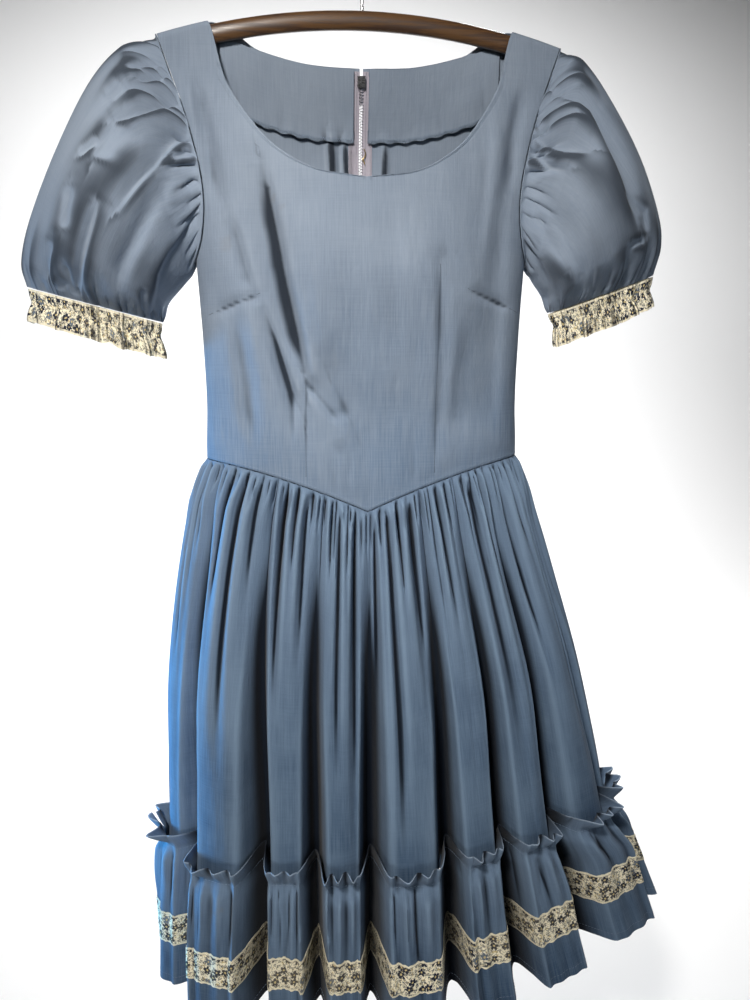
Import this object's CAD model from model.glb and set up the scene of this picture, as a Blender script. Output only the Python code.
"""A short-sleeved prairie dress on a hanger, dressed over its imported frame.

Forms are worked out in millimetres in the frame's own axes: X to the viewer's right, Y away
from the viewer and Z up, with the hook's crown at the origin. They become metres when a mesh
is made. A place round the skirt runs from 0 at the left side seam, over the front, to 1 at
the right one, and round the back to 2.
"""

import logging
import math
from dataclasses import dataclass
from enum import Enum
from typing import Optional, Sequence

import bpy
import numpy as np
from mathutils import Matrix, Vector


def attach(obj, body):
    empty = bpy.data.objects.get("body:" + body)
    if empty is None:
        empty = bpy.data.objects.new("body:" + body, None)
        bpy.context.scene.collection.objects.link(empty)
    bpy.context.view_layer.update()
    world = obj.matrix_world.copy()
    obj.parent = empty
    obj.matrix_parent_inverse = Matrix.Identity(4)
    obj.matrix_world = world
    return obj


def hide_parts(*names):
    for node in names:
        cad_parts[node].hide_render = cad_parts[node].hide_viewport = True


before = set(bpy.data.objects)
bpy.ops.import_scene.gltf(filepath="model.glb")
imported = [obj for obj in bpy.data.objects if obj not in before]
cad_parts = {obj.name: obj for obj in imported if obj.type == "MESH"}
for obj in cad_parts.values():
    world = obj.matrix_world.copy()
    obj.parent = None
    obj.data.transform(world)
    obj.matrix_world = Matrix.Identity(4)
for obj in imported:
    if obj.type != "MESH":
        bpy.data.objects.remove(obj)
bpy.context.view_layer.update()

LOG = logging.getLogger("dress")
MM = 0.001
Points = np.ndarray
Triple = tuple[float, float, float]
Colour = tuple[float, float, float, float]


class Panel(Enum):
    """The front or the back of the dress."""

    FRONT = "front"
    BACK = "back"

    @property
    def way(self) -> int:
        """The sign of Y on this panel."""
        return -1 if self is Panel.FRONT else 1


class Side(Enum):
    """A side of the dress as the viewer sees it."""

    LEFT = "left"
    RIGHT = "right"

    @property
    def way(self) -> int:
        """The sign of X on this side."""
        return -1 if self is Side.LEFT else 1


class Body(Enum):
    """The frame's rigid bodies."""

    DRESS = "dress"
    TAB = "pull_tab"


class Slot(Enum):
    """The record's material slots."""

    CLOTH = "cloth"
    PRINT = "print_trim"
    TAPE = "zip_tape"
    STEEL = "steel"
    WOOD = "wood"


# Numbers and curves


def mix(first: Points, second: Points, share: Points) -> Points:
    """Returns the value a share of the way from the first to the second."""
    return first + (second - first) * share


def ease(start: float, end: float, at: Points) -> Points:
    """Returns 0 before the start, 1 after the end, and a soft step between."""
    share = np.clip((at - start) / (end - start), 0, 1)
    return share * share * (3 - 2 * share)


def bump(centre: float, width: float, at: Points) -> Points:
    """Returns a soft hill of height 1 round a centre."""
    return np.exp(-(((at - centre) / width) ** 2))


class Table:
    """Named columns read on smooth curves through their rows. The first column is the key."""

    def __init__(self, columns: str, *rows: Sequence[float]) -> None:
        """Keeps the rows.

        Args:
            columns: the columns' names, the key's first.
            rows: one row of numbers for each key.
        """
        values = np.array(sorted(rows), float).T
        self.key = values[0]
        self.columns = dict(zip(columns.split()[1:], values[1:]))

    def read(self, column: str, at: Points) -> Points:
        """Reads one column.

        Args:
            column: the column's name.
            at: the keys to read it at; beyond the ends they read the end rows.

        Returns:
            The column's value at each key.
        """
        key, value = self.key, self.columns[column]
        number = np.arange(len(key))
        before, after = np.maximum(number - 1, 0), np.minimum(number + 1, len(key) - 1)
        slope = (value[after] - value[before]) / (key[after] - key[before])
        at = np.clip(at, key[0], key[-1])
        i = np.clip(np.searchsorted(key, at, side="right") - 1, 0, len(key) - 2)
        span = key[i + 1] - key[i]
        t = (at - key[i]) / span
        return (
            (2 * t**3 - 3 * t**2 + 1) * value[i]
            + (t**3 - 2 * t**2 + t) * slope[i] * span
            + (3 * t**2 - 2 * t**3) * value[i + 1]
            + (t**3 - t**2) * slope[i + 1] * span
        )


class Wander:
    """Smooth seeded unevenness over a plane, from -1 to 1, that repeats after a whole number
    of cells."""

    def __init__(self, seed: int, across: int = 16, down: int = 16) -> None:
        """Draws the cells' corners.

        Args:
            seed: the seed of the draw.
            across: cells before it repeats across.
            down: cells before it repeats down.
        """
        self.corners = np.random.default_rng(seed).uniform(-1, 1, (down, across))

    def at(self, across: Points, down: Points = 0.0) -> Points:
        """Returns the unevenness at places given in cells."""
        across, down = np.broadcast_arrays(np.asarray(across, float), np.asarray(down, float))
        i, j = np.floor(across).astype(int), np.floor(down).astype(int)
        u, v = ease(0, 1, across - i), ease(0, 1, down - j)
        rows, columns = self.corners.shape

        def corner(right: int, under: int) -> Points:
            """Returns the drawn value at a corner of each place's cell."""
            return self.corners[(j + under) % rows, (i + right) % columns]

        upper = mix(corner(0, 0), corner(1, 0), u)
        return mix(upper, mix(corner(0, 1), corner(1, 1), u), v)


@dataclass(frozen=True)
class Crease:
    """A trough (depth above 0) or ridge (below 0) along a path of points, in millimetres. Its
    left side is the one on the left of a path that runs down."""

    path: tuple[tuple[float, float], ...]
    depth: float
    left: float
    right: float

    def sunk(self, x: Points, z: Points) -> Points:
        """Works out how far the crease sinks the cloth.

        Args:
            x: places across.
            z: heights.

        Returns:
            The depth at each point, tapered towards the path's ends.
        """
        path = np.array(self.path, float)
        runs = np.diff(path, axis=0)
        lengths = np.hypot(*runs.T)
        gone = np.concatenate([[0], np.cumsum(lengths)]) / lengths.sum()
        nearest = np.full(np.broadcast(x, z).shape, np.inf)
        sunk = np.zeros_like(nearest)
        for number, (start, run) in enumerate(zip(path, runs)):
            along = ((x - start[0]) * run[0] + (z - start[1]) * run[1]) / lengths[number] ** 2
            near = np.clip(along, 0, 1)
            off_x, off_z = x - start[0] - run[0] * near, z - start[1] - run[1] * near
            away = off_x**2 + off_z**2
            width = np.where(off_x * run[1] - off_z * run[0] > 0, self.left, self.right)
            whole = mix(gone[number], gone[number + 1], near)
            taper = ease(-0.12, 0.28, whole) * (1 - ease(0.72, 1.12, whole))
            here = self.depth * taper * np.exp(-away / width**2)
            sunk = np.where(away < nearest, here, sunk)
            nearest = np.minimum(away, nearest)
        return sunk


def creases(*rows: tuple) -> tuple[Crease, ...]:
    """Makes creases from rows of depth, left width, right width and the path's points."""
    return tuple(Crease(row[3:], *row[:3]) for row in rows)


# Meshes


def unit(vectors: Points) -> Points:
    """Returns vectors one long."""
    return vectors / np.maximum(np.linalg.norm(vectors, axis=-1, keepdims=True), 1e-9)


def grid_normals(points: Points) -> Points:
    """Returns the normal at each point of a grid, on the side where rows run down and columns
    run right."""
    down = np.gradient(points, axis=0)
    across = np.gradient(points, axis=1)
    return unit(np.cross(down, across))


def lengths_along(points: Points, axis: int) -> Points:
    """Returns the distance of each point of a grid from its first one, along one axis."""
    steps = np.linalg.norm(np.diff(points, axis=axis), axis=-1)
    first = np.zeros_like(np.take(steps, [0], axis=axis))
    return np.concatenate([first, np.cumsum(steps, axis=axis)], axis=axis)


def flat_places(points: Points, widest: int = -1) -> Points:
    """Lays a grid of points out flat.

    Args:
        points: the grid, in millimetres.
        widest: the row whose widths the flat cloth has.

    Returns:
        Each point's place on the flat cloth, in millimetres across and down.
    """
    across = lengths_along(points, 1)[widest]
    down = np.median(lengths_along(points, 0), axis=1)
    return np.stack(np.broadcast_arrays(across[None, :], down[:, None]), -1)


def hung_places(points: Points) -> Points:
    """Returns the places of points on cloth that hangs flat, across and down."""
    return np.stack([points[..., 0], -points[..., 2]], -1)


def softened(points: Points, reach: float) -> Points:
    """Returns a grid of points with each one moved to the middle of those within a reach."""
    for axis in (0, 1):
        spacing = np.median(np.linalg.norm(np.diff(points, axis=axis), axis=-1))
        size = int(np.clip(round(reach / spacing), 1, points.shape[axis] // 2 - 1))
        margins = [(0, 0)] * 3
        margins[axis] = (size + 1, size)
        summed = np.cumsum(np.pad(points, margins, mode="edge"), axis=axis)
        count = points.shape[axis]
        high = np.take(summed, np.arange(count) + 2 * size + 1, axis=axis)
        points = (high - np.take(summed, np.arange(count), axis=axis)) / (2 * size + 1)
    return points


def hollows(points: Points) -> Points:
    """Returns how far each point of a grid lies in a hollow, to 1, or on a ridge, to -1."""
    normals = grid_normals(points)
    near, far, wide = (
        ((softened(points, reach) - points) * normals).sum(-1) for reach in (3.5, 12, 30)
    )
    return np.clip(near / 1.6 + far / 7.5 + np.maximum(wide - 3, 0) / 9, -1, 1)


def corners_kept(faces: Points) -> Points:
    """Returns which corners of each face aren't welded to the corner before them."""
    return faces != np.roll(faces, 1, axis=1)


class Sheet:
    """A sheet of cloth: points, faces that look outwards, and their places on the flat cloth."""

    WELD = 0.02

    def __init__(self) -> None:
        """Starts an empty sheet."""
        self.points: list[Points] = []
        self.traits: list[Points] = []
        self.faces: list[Points] = []
        self.flats: list[Points] = []
        self.count = 0

    def add(
        self,
        points: Points,
        turned: bool = False,
        flat: Optional[Points] = None,
        dark: Points = 0.0,
    ) -> "Sheet":
        """Adds a grid of points.

        Args:
            points: the grid, rows from the top down, in millimetres.
            turned: whether its columns run left instead of right, seen from outside.
            flat: the points' places on the flat cloth; worked out if left out.
            dark: how much deeper in a hollow each point is than the grid alone shows.

        Returns:
            The sheet.
        """
        rows, columns = points.shape[:2]
        flat = flat_places(points) if flat is None else flat
        trait = hollows(points[:, ::-1])[:, ::-1] if turned else hollows(points)
        trait = np.clip(trait + dark, -1, 1)
        number = np.arange(rows * columns).reshape(rows, columns)
        corners = [number[:-1, :-1], number[1:, :-1], number[1:, 1:], number[:-1, 1:]]
        quads = np.stack(corners[::-1] if turned else corners, -1).reshape(-1, 4)
        self.points.append(points.reshape(-1, 3))
        self.traits.append(trait.reshape(-1))
        self.flats.append(flat.reshape(-1, 2)[quads])
        self.faces.append(quads + self.count)
        self.count += rows * columns
        return self

    def _joined(self) -> tuple[Points, Points, Points, Points]:
        """Returns points, traits, faces and flat places, with points in one place welded."""
        points, faces = np.concatenate(self.points), np.concatenate(self.faces)
        places = np.round(points / self.WELD).astype(np.int64)
        _, first, number = np.unique(places, axis=0, return_index=True, return_inverse=True)
        faces = number.reshape(-1)[faces]
        whole = corners_kept(faces).sum(axis=1) >= 3
        flats = np.concatenate(self.flats)[whole]
        return points[first], np.concatenate(self.traits)[first], faces[whole], flats

    def mesh(self, name: str, thick: float, smooth: float = 55.0) -> bpy.types.Object:
        """Gives the sheet its thickness, inwards, and makes it an object.

        Args:
            name: the object's name.
            thick: the thickness in millimetres.
            smooth: the sharpest angle in degrees that is still shaded smooth.

        Returns:
            The new object, at the origin.
        """
        points, traits, faces, flats = self._joined()
        count = len(points)
        a, b, c, d = (points[faces[:, k]] for k in range(4))
        face_normals = np.cross(c - a, d - b)
        normals = np.zeros_like(points)
        for k in range(4):
            np.add.at(normals, faces[:, k], face_normals)
        inner = points - unit(normals) * thick
        edges = np.stack([faces, np.roll(faces, -1, axis=1)], -1).reshape(-1, 2)
        edge_flats = np.stack([flats, np.roll(flats, -1, axis=1)], 2).reshape(-1, 2, 2)
        low, high = edges.min(axis=1).astype(np.int64), edges.max(axis=1).astype(np.int64)
        _, which, times = np.unique(low * count + high, return_inverse=True, return_counts=True)
        open_edge = (times[which.reshape(-1)] == 1) & (edges[:, 0] != edges[:, 1])
        start, end = edges[open_edge].T
        rims = np.stack([end, start, start + count, end + count], -1)
        rim_flats = edge_flats[open_edge][:, [1, 0, 0, 1]]
        all_faces = np.concatenate([faces, faces[:, ::-1] + count, rims])
        all_flats = np.concatenate([flats, flats[:, ::-1], rim_flats])
        kept = corners_kept(all_faces)
        return make_object(
            name,
            np.concatenate([points, inner]),
            [face[keep].tolist() for face, keep in zip(all_faces, kept)],
            all_flats[kept],
            np.concatenate([traits, traits]),
            smooth,
        )


def placed(name: str, data: Optional[bpy.types.ID]) -> bpy.types.Object:
    """Returns a new object in the scene, at the origin."""
    item = bpy.data.objects.new(name, data)
    bpy.context.scene.collection.objects.link(item)
    return item


def make_object(
    name: str,
    points: Points,
    faces: Points | list,
    flats: Optional[Points] = None,
    trait: Optional[Points] = None,
    smooth: float = 55.0,
) -> bpy.types.Object:
    """Makes an object from points in millimetres.

    Args:
        name: the object's name.
        points: the points.
        faces: the numbers of each face's corners.
        flats: each face corner's place on the flat cloth, in millimetres.
        trait: a number at each point, kept as the attribute "hollow".
        smooth: the sharpest angle in degrees that is still shaded smooth.

    Returns:
        The object, in the scene, at the origin.
    """
    mesh = bpy.data.meshes.new(name)
    faces = faces.tolist() if isinstance(faces, np.ndarray) else faces
    mesh.from_pydata((np.asarray(points) * MM).tolist(), [], faces)
    if flats is not None:
        layer = mesh.uv_layers.new(name="flat")
        layer.data.foreach_set("uv", (flats * MM).astype(np.float32).ravel())
    if trait is not None:
        attribute = mesh.attributes.new("hollow", "FLOAT", "POINT")
        attribute.data.foreach_set("value", trait.astype(np.float32))
    mesh.shade_smooth()
    mesh.set_sharp_from_angle(angle=math.radians(smooth))
    mesh.update()
    return placed(name, mesh)


def ringed(name: str, rings: Points, smooth: float) -> bpy.types.Object:
    """Makes an object from rings of points, in rows, and closes its ends."""
    number = np.arange(rings.shape[0] * rings.shape[1]).reshape(rings.shape[:2])
    after = np.roll(number, -1, axis=1)
    quads = np.stack([number[:-1], after[:-1], after[1:], number[1:]], -1).reshape(-1, 4)
    faces = quads.tolist() + [number[0][::-1].tolist(), number[-1].tolist()]
    return make_object(name, rings.reshape(-1, 3), faces, smooth=smooth)


def tube(name: str, path: Points, radius: float, sides: int = 10) -> bpy.types.Object:
    """Makes a round wire with closed ends.

    Args:
        name: the object's name.
        path: the points of its centre line, in millimetres.
        radius: its radius in millimetres.
        sides: how many flats its section has.

    Returns:
        The object.
    """
    along = unit(np.gradient(path, axis=0))
    across = [unit(np.cross(along[0], (0.3, 1.0, 0.1)))]
    for direction in along[1:]:
        across.append(unit(across[-1] - direction * np.dot(across[-1], direction)))
    first = np.array(across)
    second = np.cross(along, first)
    turns = np.arange(sides) * 2 * math.pi / sides
    rings = (
        path[:, None]
        + first[:, None] * (np.cos(turns) * radius)[None, :, None]
        + second[:, None] * (np.sin(turns) * radius)[None, :, None]
    )
    return ringed(name, rings, 50)


# Forms


@dataclass
class BodiceForm:
    """The shape of the bodice's outside, front and back."""

    side_waist: float = -513.0
    underarm: float = -322.0
    waist_half: float = 161.0
    POINT_DROP = {Panel.FRONT: 48.0, Panel.BACK: 5.0}
    POINT_SHARPNESS = {Panel.FRONT: 1.55, Panel.BACK: 1.5}
    shoulder_top: float = -88.7
    shoulder_bend: float = 0.00081
    over_hanger: float = 7.7
    back_edge: float = 1.6
    underarm_at: float = 0.45
    NECK_AT = {Panel.FRONT: 0.62, Panel.BACK: 0.74}
    seam: float = 0.2
    WALL = Table(
        "z half front back",
        (-570, 161, 58, 43),
        (-505, 161, 58, 43),
        (-460, 159, 57, 42),
        (-400, 160, 62, 42),
        (-330, 163, 66, 42),
        (-250, 168, 54, 38),
        (-180, 182, 40, 31),
        (-100, 208, 26, 22),
    )
    ARMHOLE = Table(
        "at x z",
        (0, 163.3, -322),
        (0.1, 155, -304),
        (0.25, 150.5, -276),
        (0.4, 152, -246),
        (0.57, 159, -213),
        (0.73, 168, -182),
        (0.87, 179, -151),
        (1, 190, -118),
    )
    SCOOP = {
        Panel.FRONT: Table(
            "at x z",
            (0, 0, -250),
            (0.2, 46, -243),
            (0.4, 83, -222),
            (0.6, 110, -190),
            (0.8, 133, -149),
            (1, 147, -106),
        ),
        Panel.BACK: Table(
            "at x z",
            (0, 0, -137),
            (0.3, 50, -135),
            (0.6, 95, -126),
            (0.85, 130, -114),
            (1, 147, -106),
        ),
    }
    CREASES = {
        Panel.FRONT: creases(
            (14, 19, 7, (-97, -236), (-76, -351), (-58, -440)),
            (4.5, 12, 6, (-127, -282), (-107, -356)),
            (-4, 12, 20, (-66, -262), (-44, -350), (-36, -420)),
            (2.6, 5, 6, (-145, -370), (-123, -361), (-96, -353)),
            (2.6, 6, 5, (152, -366), (120, -356), (95, -348)),
            (5.5, 9, 5, (-99, -362), (-80, -420), (-62, -473)),
            (4.5, 8, 9, (-124, -372), (-116, -440), (-111, -508)),
            (3, 7, 4, (-88, -392), (-74, -446), (-70, -496)),
            (3, 6, 8, (-60, -428), (-59, -530)),
            (3.6, 5, 9, (67, -322), (71, -420), (69, -526)),
            (5, 6, 12, (-60, -430), (-42, -452), (-24, -474)),
            (4.5, 8, 17, (-50, -398), (-22, -455), (4, -518)),
            (2.6, 8, 12, (-32, -490), (-8, -530)),
            (6, 20, 13, (126, -250), (125, -360), (121, -494)),
            (4, 10, 16, (98, -380), (92, -440), (84, -506)),
            (2.4, 9, 14, (95, -349), (66, -306)),
            (-3.4, 24, 24, (30, -290), (60, -380), (80, -470)),
            (2.2, 14, 10, (18, -268), (24, -330), (22, -410)),
            (7, 9, 7, (-157, -150), (-146, -205), (-134, -276)),
            (-4, 8, 9, (-168, -140), (-158, -200)),
            (6, 7, 10, (156, -150), (143, -205), (136, -262)),
            (-4, 8, 9, (126, -185), (122, -250), (112, -330)),
        ),
        Panel.BACK: creases(
            (3.4, 8, 8, (-64, -345), (-60, -535)),
            (3.4, 8, 8, (64, -345), (60, -535)),
            (7, 14, 6, (-116, -200), (-104, -320), (-92, -430)),
            (6, 6, 14, (108, -210), (96, -320), (86, -440)),
            (4, 7, 10, (-34, -380), (-20, -500)),
            (4, 10, 7, (38, -400), (22, -505)),
            (4, 6, 10, (-150, -330), (-122, -445)),
            (4, 10, 6, (150, -330), (124, -450)),
            (-3, 16, 16, (-84, -250), (-60, -330)),
            (-3, 16, 16, (74, -240), (50, -330)),
            (6, 3, 6, (-31, -190), (-27, -268)),
            (5, 3, 5, (-16, -196), (-14, -262)),
            (4, 5, 3, (26, -196), (24, -272)),
        ),
    }
    DART_SEAMS = {
        Panel.FRONT: (
            ((-58.5, -431), (-60, -527)),
            ((68, -322), (66, -526)),
            ((-152, -372), (-98, -352)),
            ((154, -368), (94, -347)),
        ),
        Panel.BACK: (((-62, -352), (-60, -512)), ((62, -352), (60, -512))),
    }
    seam_sink: float = 0.7
    seam_width: float = 1.6
    LARGE = Wander(3, 23, 19)
    SMALL = Wander(5, 61, 43)

    def shoulder(self, x: Points) -> Points:
        """Returns the height of the shoulder line."""
        return self.shoulder_top - self.shoulder_bend * x * x

    def waist(self, x: Points, panel: Panel) -> Points:
        """Returns the height of the waist seam."""
        share = 1 - np.minimum(1, np.abs(x) / self.waist_half)
        return self.side_waist - self.POINT_DROP[panel] * share ** self.POINT_SHARPNESS[panel]

    def depth(self, x: Points, z: Points, panel: Panel) -> Points:
        """Returns how far the outside stands from the hanger's plane.

        Args:
            x: places across.
            z: heights.
            panel: the front or the back.

        Returns:
            Distances in millimetres, folds included.
        """
        over = self.over_hanger
        drop = np.maximum(0, self.shoulder(x) - z)
        rounded = over * np.sqrt(np.maximum(0, 1 - (1 - np.minimum(1, drop / over)) ** 2))
        half = self.WALL.read("half", z)
        across = np.minimum(1, np.abs(x) / half)
        full = self.WALL.read(panel.value, z) * (1 - across**2.4) ** 0.55
        plain = mix(rounded, full, ease(8, 125, drop))
        free = ease(0, 30, half - np.abs(x)) * ease(12, 60, z - self.waist(x, panel))
        sunk = sum(crease.sunk(x, z) for crease in self.CREASES[panel])
        return plain - sunk * free * ease(20, 80, drop) + self._unevenness(x, z, panel, drop)

    def _unevenness(self, x: Points, z: Points, panel: Panel, drop: Points) -> Points:
        """Returns small swells and wrinkles, and the sunk lines of the dart seams."""
        shift = 7.3 * panel.way
        fade = ease(4, 60, drop) * ease(0, 22, z - self.waist(x, panel))
        swell = self.LARGE.at(x / 34 + shift, z / 70) * 1.3 * fade
        wrinkle = self.SMALL.at(x / 8.5 + shift, z / 24) * 0.32 * fade
        near_waist = 1 - ease(5, 90, z - self.waist(x, panel))
        pull = self.SMALL.at(x / 7 + shift, z / 60) * 0.9 * near_waist * fade
        lines = 0.0
        for path in self.DART_SEAMS[panel]:
            crease = Crease(path, self.seam_sink, self.seam_width, self.seam_width)
            lines = lines + crease.sunk(x, z)
        return swell + wrinkle + pull - lines

    def surface(self, x: Points, z: Points, panel: Panel, out: Points = 0.0) -> Points:
        """Returns points of the outside, moved out from it by some distance."""
        y = panel.way * (self.depth(x, z, panel) + self.seam + out)
        return np.stack(np.broadcast_arrays(x, y, z), -1)

    def _levelled_shift(self, arm_up: Points, level: Points) -> Points:
        """Returns how far out a row's end moves to stay on the armhole as the row levels out."""
        x, z = (self.ARMHOLE.read(name, arm_up) for name in "xz")
        levelled = mix(z, self.shoulder(x), level)
        by_height = Table("z x", *zip(self.ARMHOLE.columns["z"], self.ARMHOLE.columns["x"]))
        return by_height.read("x", levelled) - by_height.read("x", z)

    def place(self, across: Points, up: Points, panel: Panel) -> tuple[Points, Points, Points]:
        """Works out a place on the right half of a panel.

        Args:
            across: 0 at the outer edge, 1 at the inner edge.
            up: 0 at the waist, 1 at the shoulder.
            panel: the front or the back.

        Returns:
            The places' x and z, and their distance from the armhole or neck edge.
        """
        underarm_at, neck_at = self.underarm_at, self.NECK_AT[panel]
        scoop = self.SCOOP[panel]
        arm_up = np.clip((up - underarm_at) / (1 - underarm_at), 0, 1)
        neck_up = np.clip((up - neck_at) / (1 - neck_at), 0, 1)
        side_z = mix(self.side_waist, self.underarm, np.minimum(1, up / underarm_at))
        outer_z = np.where(arm_up > 0, self.ARMHOLE.read("z", arm_up), side_z)
        level = ease(0.9, 1, up)
        arm_x = self.ARMHOLE.read("x", arm_up) + self._levelled_shift(arm_up, level)
        outer_x = np.where(arm_up > 0, arm_x, self.WALL.read("half", side_z))
        least = 0.0 if panel is Panel.FRONT else self.back_edge
        inner_x = np.maximum(least, scoop.read("x", neck_up))
        low = self.waist(0.0, panel)
        centre_z = mix(low, scoop.read("z", 0.0), np.minimum(1, up / neck_at))
        inner_z = np.where(neck_up > 0, scoop.read("z", neck_up), centre_z)
        share = across**1.25
        x = mix(outer_x, inner_x, share)
        chord = mix(self.side_waist, low, share)
        bend = (self.waist(x, panel) - chord) * (1 - ease(0, 0.5, up))
        z = mix(mix(outer_z, inner_z, share) + bend, self.shoulder(x), level)
        to_neck = np.where(neck_up > 0, np.hypot(x - inner_x, z - inner_z), 99.0)
        return x, z, to_neck


@dataclass
class SkirtForm:
    """The shape of the gathered skirt, and of what is laid over it."""

    bodice: BodiceForm
    skirt_end: float = -947.0
    heading_top: float = -915.0
    seam_height: float = -935.0
    trim_top: float = -1014.0
    trim_width: float = 36.0
    hem: float = -1100.0
    right_rise: float = 24.0
    floor: float = 30.0
    roundness: float = 0.56
    most_growth: float = 1.08
    gathers: int = 4
    waves: int = 4
    steepest: float = 4.2
    clearance: float = 2.1
    seam: float = 0.2
    evening: float = 0.175
    PLAN = Table(
        "drop left right front back",
        (0, 161, 161, 58, 43),
        (47, 178, 178, 67, 52),
        (127, 193, 204, 74, 60),
        (227, 203, 233, 80, 68),
        (337, 208, 259, 84, 76),
        (432, 211, 280, 88, 82),
        (507, 217, 302, 92, 86),
        (587, 220, 332, 96, 90),
    )
    VALLEYS = np.array(
        [-0.05, 0.122, 0.26, 0.37, 0.5, 0.646, 0.73, 0.813]
        + [0.94, 1.08, 1.24, 1.39, 1.5, 1.68, 1.82]
    )
    DEPTHS = np.array([40, 58, 50, 50, 60, 46, 46, 44, 38, 44, 54, 48, 56, 50, 44], float)
    GAP = Table("drop half", (0, 0.02), (180, 0.07), (330, 0.11), (590, 0.12))
    GATHER = Table("drop size", (0, 0), (7, 2.4), (30, 3.2), (80, 1.8), (180, 0.6), (430, 0.2))
    FLOUNCE = Table(
        "z wave off",
        (heading_top, 6, 5.2),
        (-925, 3.6, 3.8),
        (seam_height, 0.7, 2.6),
        (-954, 3, 3.4),
        (trim_top, 1.8, 3),
        (trim_top - trim_width, 1.2, 3),
        (hem, 1.2, 3),
    )
    SWING = {"start": 0.42, "end": 0.95, "up": 28.0, "out": 6.0}
    # Lesser folds: place, depth, the drops between which they run, and their half width
    LESSER = (
        (0.05, 9, 8, 260, 6),
        (0.085, 6, 4, 120, 5),
        (0.155, 7, 10, 190, 6),
        (0.19, 10, 6, 340, 7),
        (0.225, 6, 6, 150, 5),
        (0.288, 12, 6, 300, 8),
        (0.315, 6, 4, 90, 4),
        (0.337, 10, 8, 210, 6),
        (0.4, 6, 5, 110, 4),
        (0.422, 10, 8, 340, 6),
        (0.462, 12, 8, 430, 7),
        (0.48, 5, 4, 70, 4),
        (0.519, 10, 10, 300, 6),
        (0.557, 12, 6, 430, 7),
        (0.585, 6, 4, 110, 4),
        (0.618, 11, 8, 260, 7),
        (0.69, 8, 6, 170, 6),
        (0.765, 12, 6, 430, 8),
        (0.79, 6, 5, 110, 4),
        (0.845, 9, 8, 260, 6),
        (0.875, 6, 5, 110, 5),
        (0.905, 10, 8, 430, 7),
        (0.97, 8, 8, 220, 6),
    )
    DRIFT = Wander(11, 10, 6)
    LONG = Wander(12, 44, 5)
    FINE = Wander(13, 120, 9)
    GATHER_SIZE = Wander(14, 90, 4)
    FRILL = Wander(15, 70, 3)

    def angle(self, place: Points) -> Points:
        """Returns the angle of each place round the skirt's plan."""
        return math.pi * place + self.evening * np.sin(2 * math.pi * place)

    @staticmethod
    def in_front(place: Points) -> Points:
        """Returns whether each place is on the front panel."""
        return np.mod(place, 2) < 1

    def waist(self, place: Points) -> Points:
        """Returns the height of the waist seam at each place."""
        x = -np.cos(self.angle(place)) * self.bodice.waist_half
        front, back = (self.bodice.waist(x, panel) for panel in Panel)
        return np.where(self.in_front(place), front, back)

    def plan(self, place: Points, drop: Points) -> tuple[Points, Points]:
        """Returns x and y of the skirt without its folds."""
        cos = np.cos(self.angle(place))
        half = np.where(cos > 0, self.PLAN.read("left", drop), self.PLAN.read("right", drop))
        front = self.in_front(place)
        deep = np.where(front, self.PLAN.read("front", drop), self.PLAN.read("back", drop))
        y = deep * (1 - np.abs(cos) ** 2.4) ** 0.55
        return -cos * half, np.where(front, -y, y)

    def fold(self, place: Points) -> tuple[Points, Points]:
        """Returns the depth of the fold that each place is in, and its share across it."""
        first = self.VALLEYS[0]
        inside = np.mod(place - first, 2) + first
        i = np.clip(np.searchsorted(self.VALLEYS, inside + 1e-9) - 1, 0, len(self.VALLEYS) - 1)
        ends = np.append(self.VALLEYS[1:], first + 2)
        share = (inside - self.VALLEYS[i]) / (ends[i] - self.VALLEYS[i])
        return self.DEPTHS[i], np.clip(share, 0, 1)

    def relief(self, place: Points, drop: Points) -> Points:
        """Returns how far the cloth stands out from the plain plan."""
        growth = np.minimum(self.most_growth, (np.maximum(drop, 0) / 434) ** 0.75)
        moved = place + self._drift(place, drop)
        deep, share = self.fold(moved)
        ridge = ((1 - np.cos(2 * math.pi * share)) / 2 + 0.002) ** self.roundness
        ridge = mix(ridge, self._walls(share, drop) * (0.8 + 0.2 * ridge), ease(40, 260, drop))
        fold = deep * ridge - self.floor
        uneven = 1 + 0.8 * self.GATHER_SIZE.at(moved * 22.5, drop / 130)
        beat = math.pi * self.gathers * share + 1.1 * self.GATHER_SIZE.at(moved * 22.5, 1.5)
        gather = np.abs(np.sin(beat)) ** 0.7 * 2 - 1.2
        gather = gather * self.GATHER.read("size", drop) * uneven
        long_folds = self.LONG.at(moved * 22, drop / 240) * 2.4 * ease(25, 150, drop)
        threads = self.FINE.at(moved * 30, drop / 120 + 3) * 1.2 * ease(40, 140, drop)
        puffed = 2.2 * ease(1, 9, drop) * (1 - ease(14, 70, drop))
        whole = fold * growth + gather + long_folds + threads + puffed
        return whole - self._slits(moved, drop)

    def _walls(self, share: Points, drop: Points) -> Points:
        """Returns a fold's outline across it: 0 in the gaps on both sides, 1 on its front."""
        gap = self.GAP.read("half", drop)
        return ease(0.3 * gap, gap + 0.13, np.minimum(share, 1 - share))

    def dark(self, place: Points, drop: Points) -> Points:
        """Returns how deep in the gap between two folds each place is, from 0 to 1."""
        _, share = self.fold(place + self._drift(place, drop))
        return (1 - self._walls(share, drop)) * ease(25, 190, drop)

    def _drift(self, place: Points, drop: Points) -> Points:
        """Returns how far the folds have wandered sideways at each place."""
        return self.DRIFT.at(place * 5, drop / 190) * 0.011 * ease(30, 260, drop)

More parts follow.
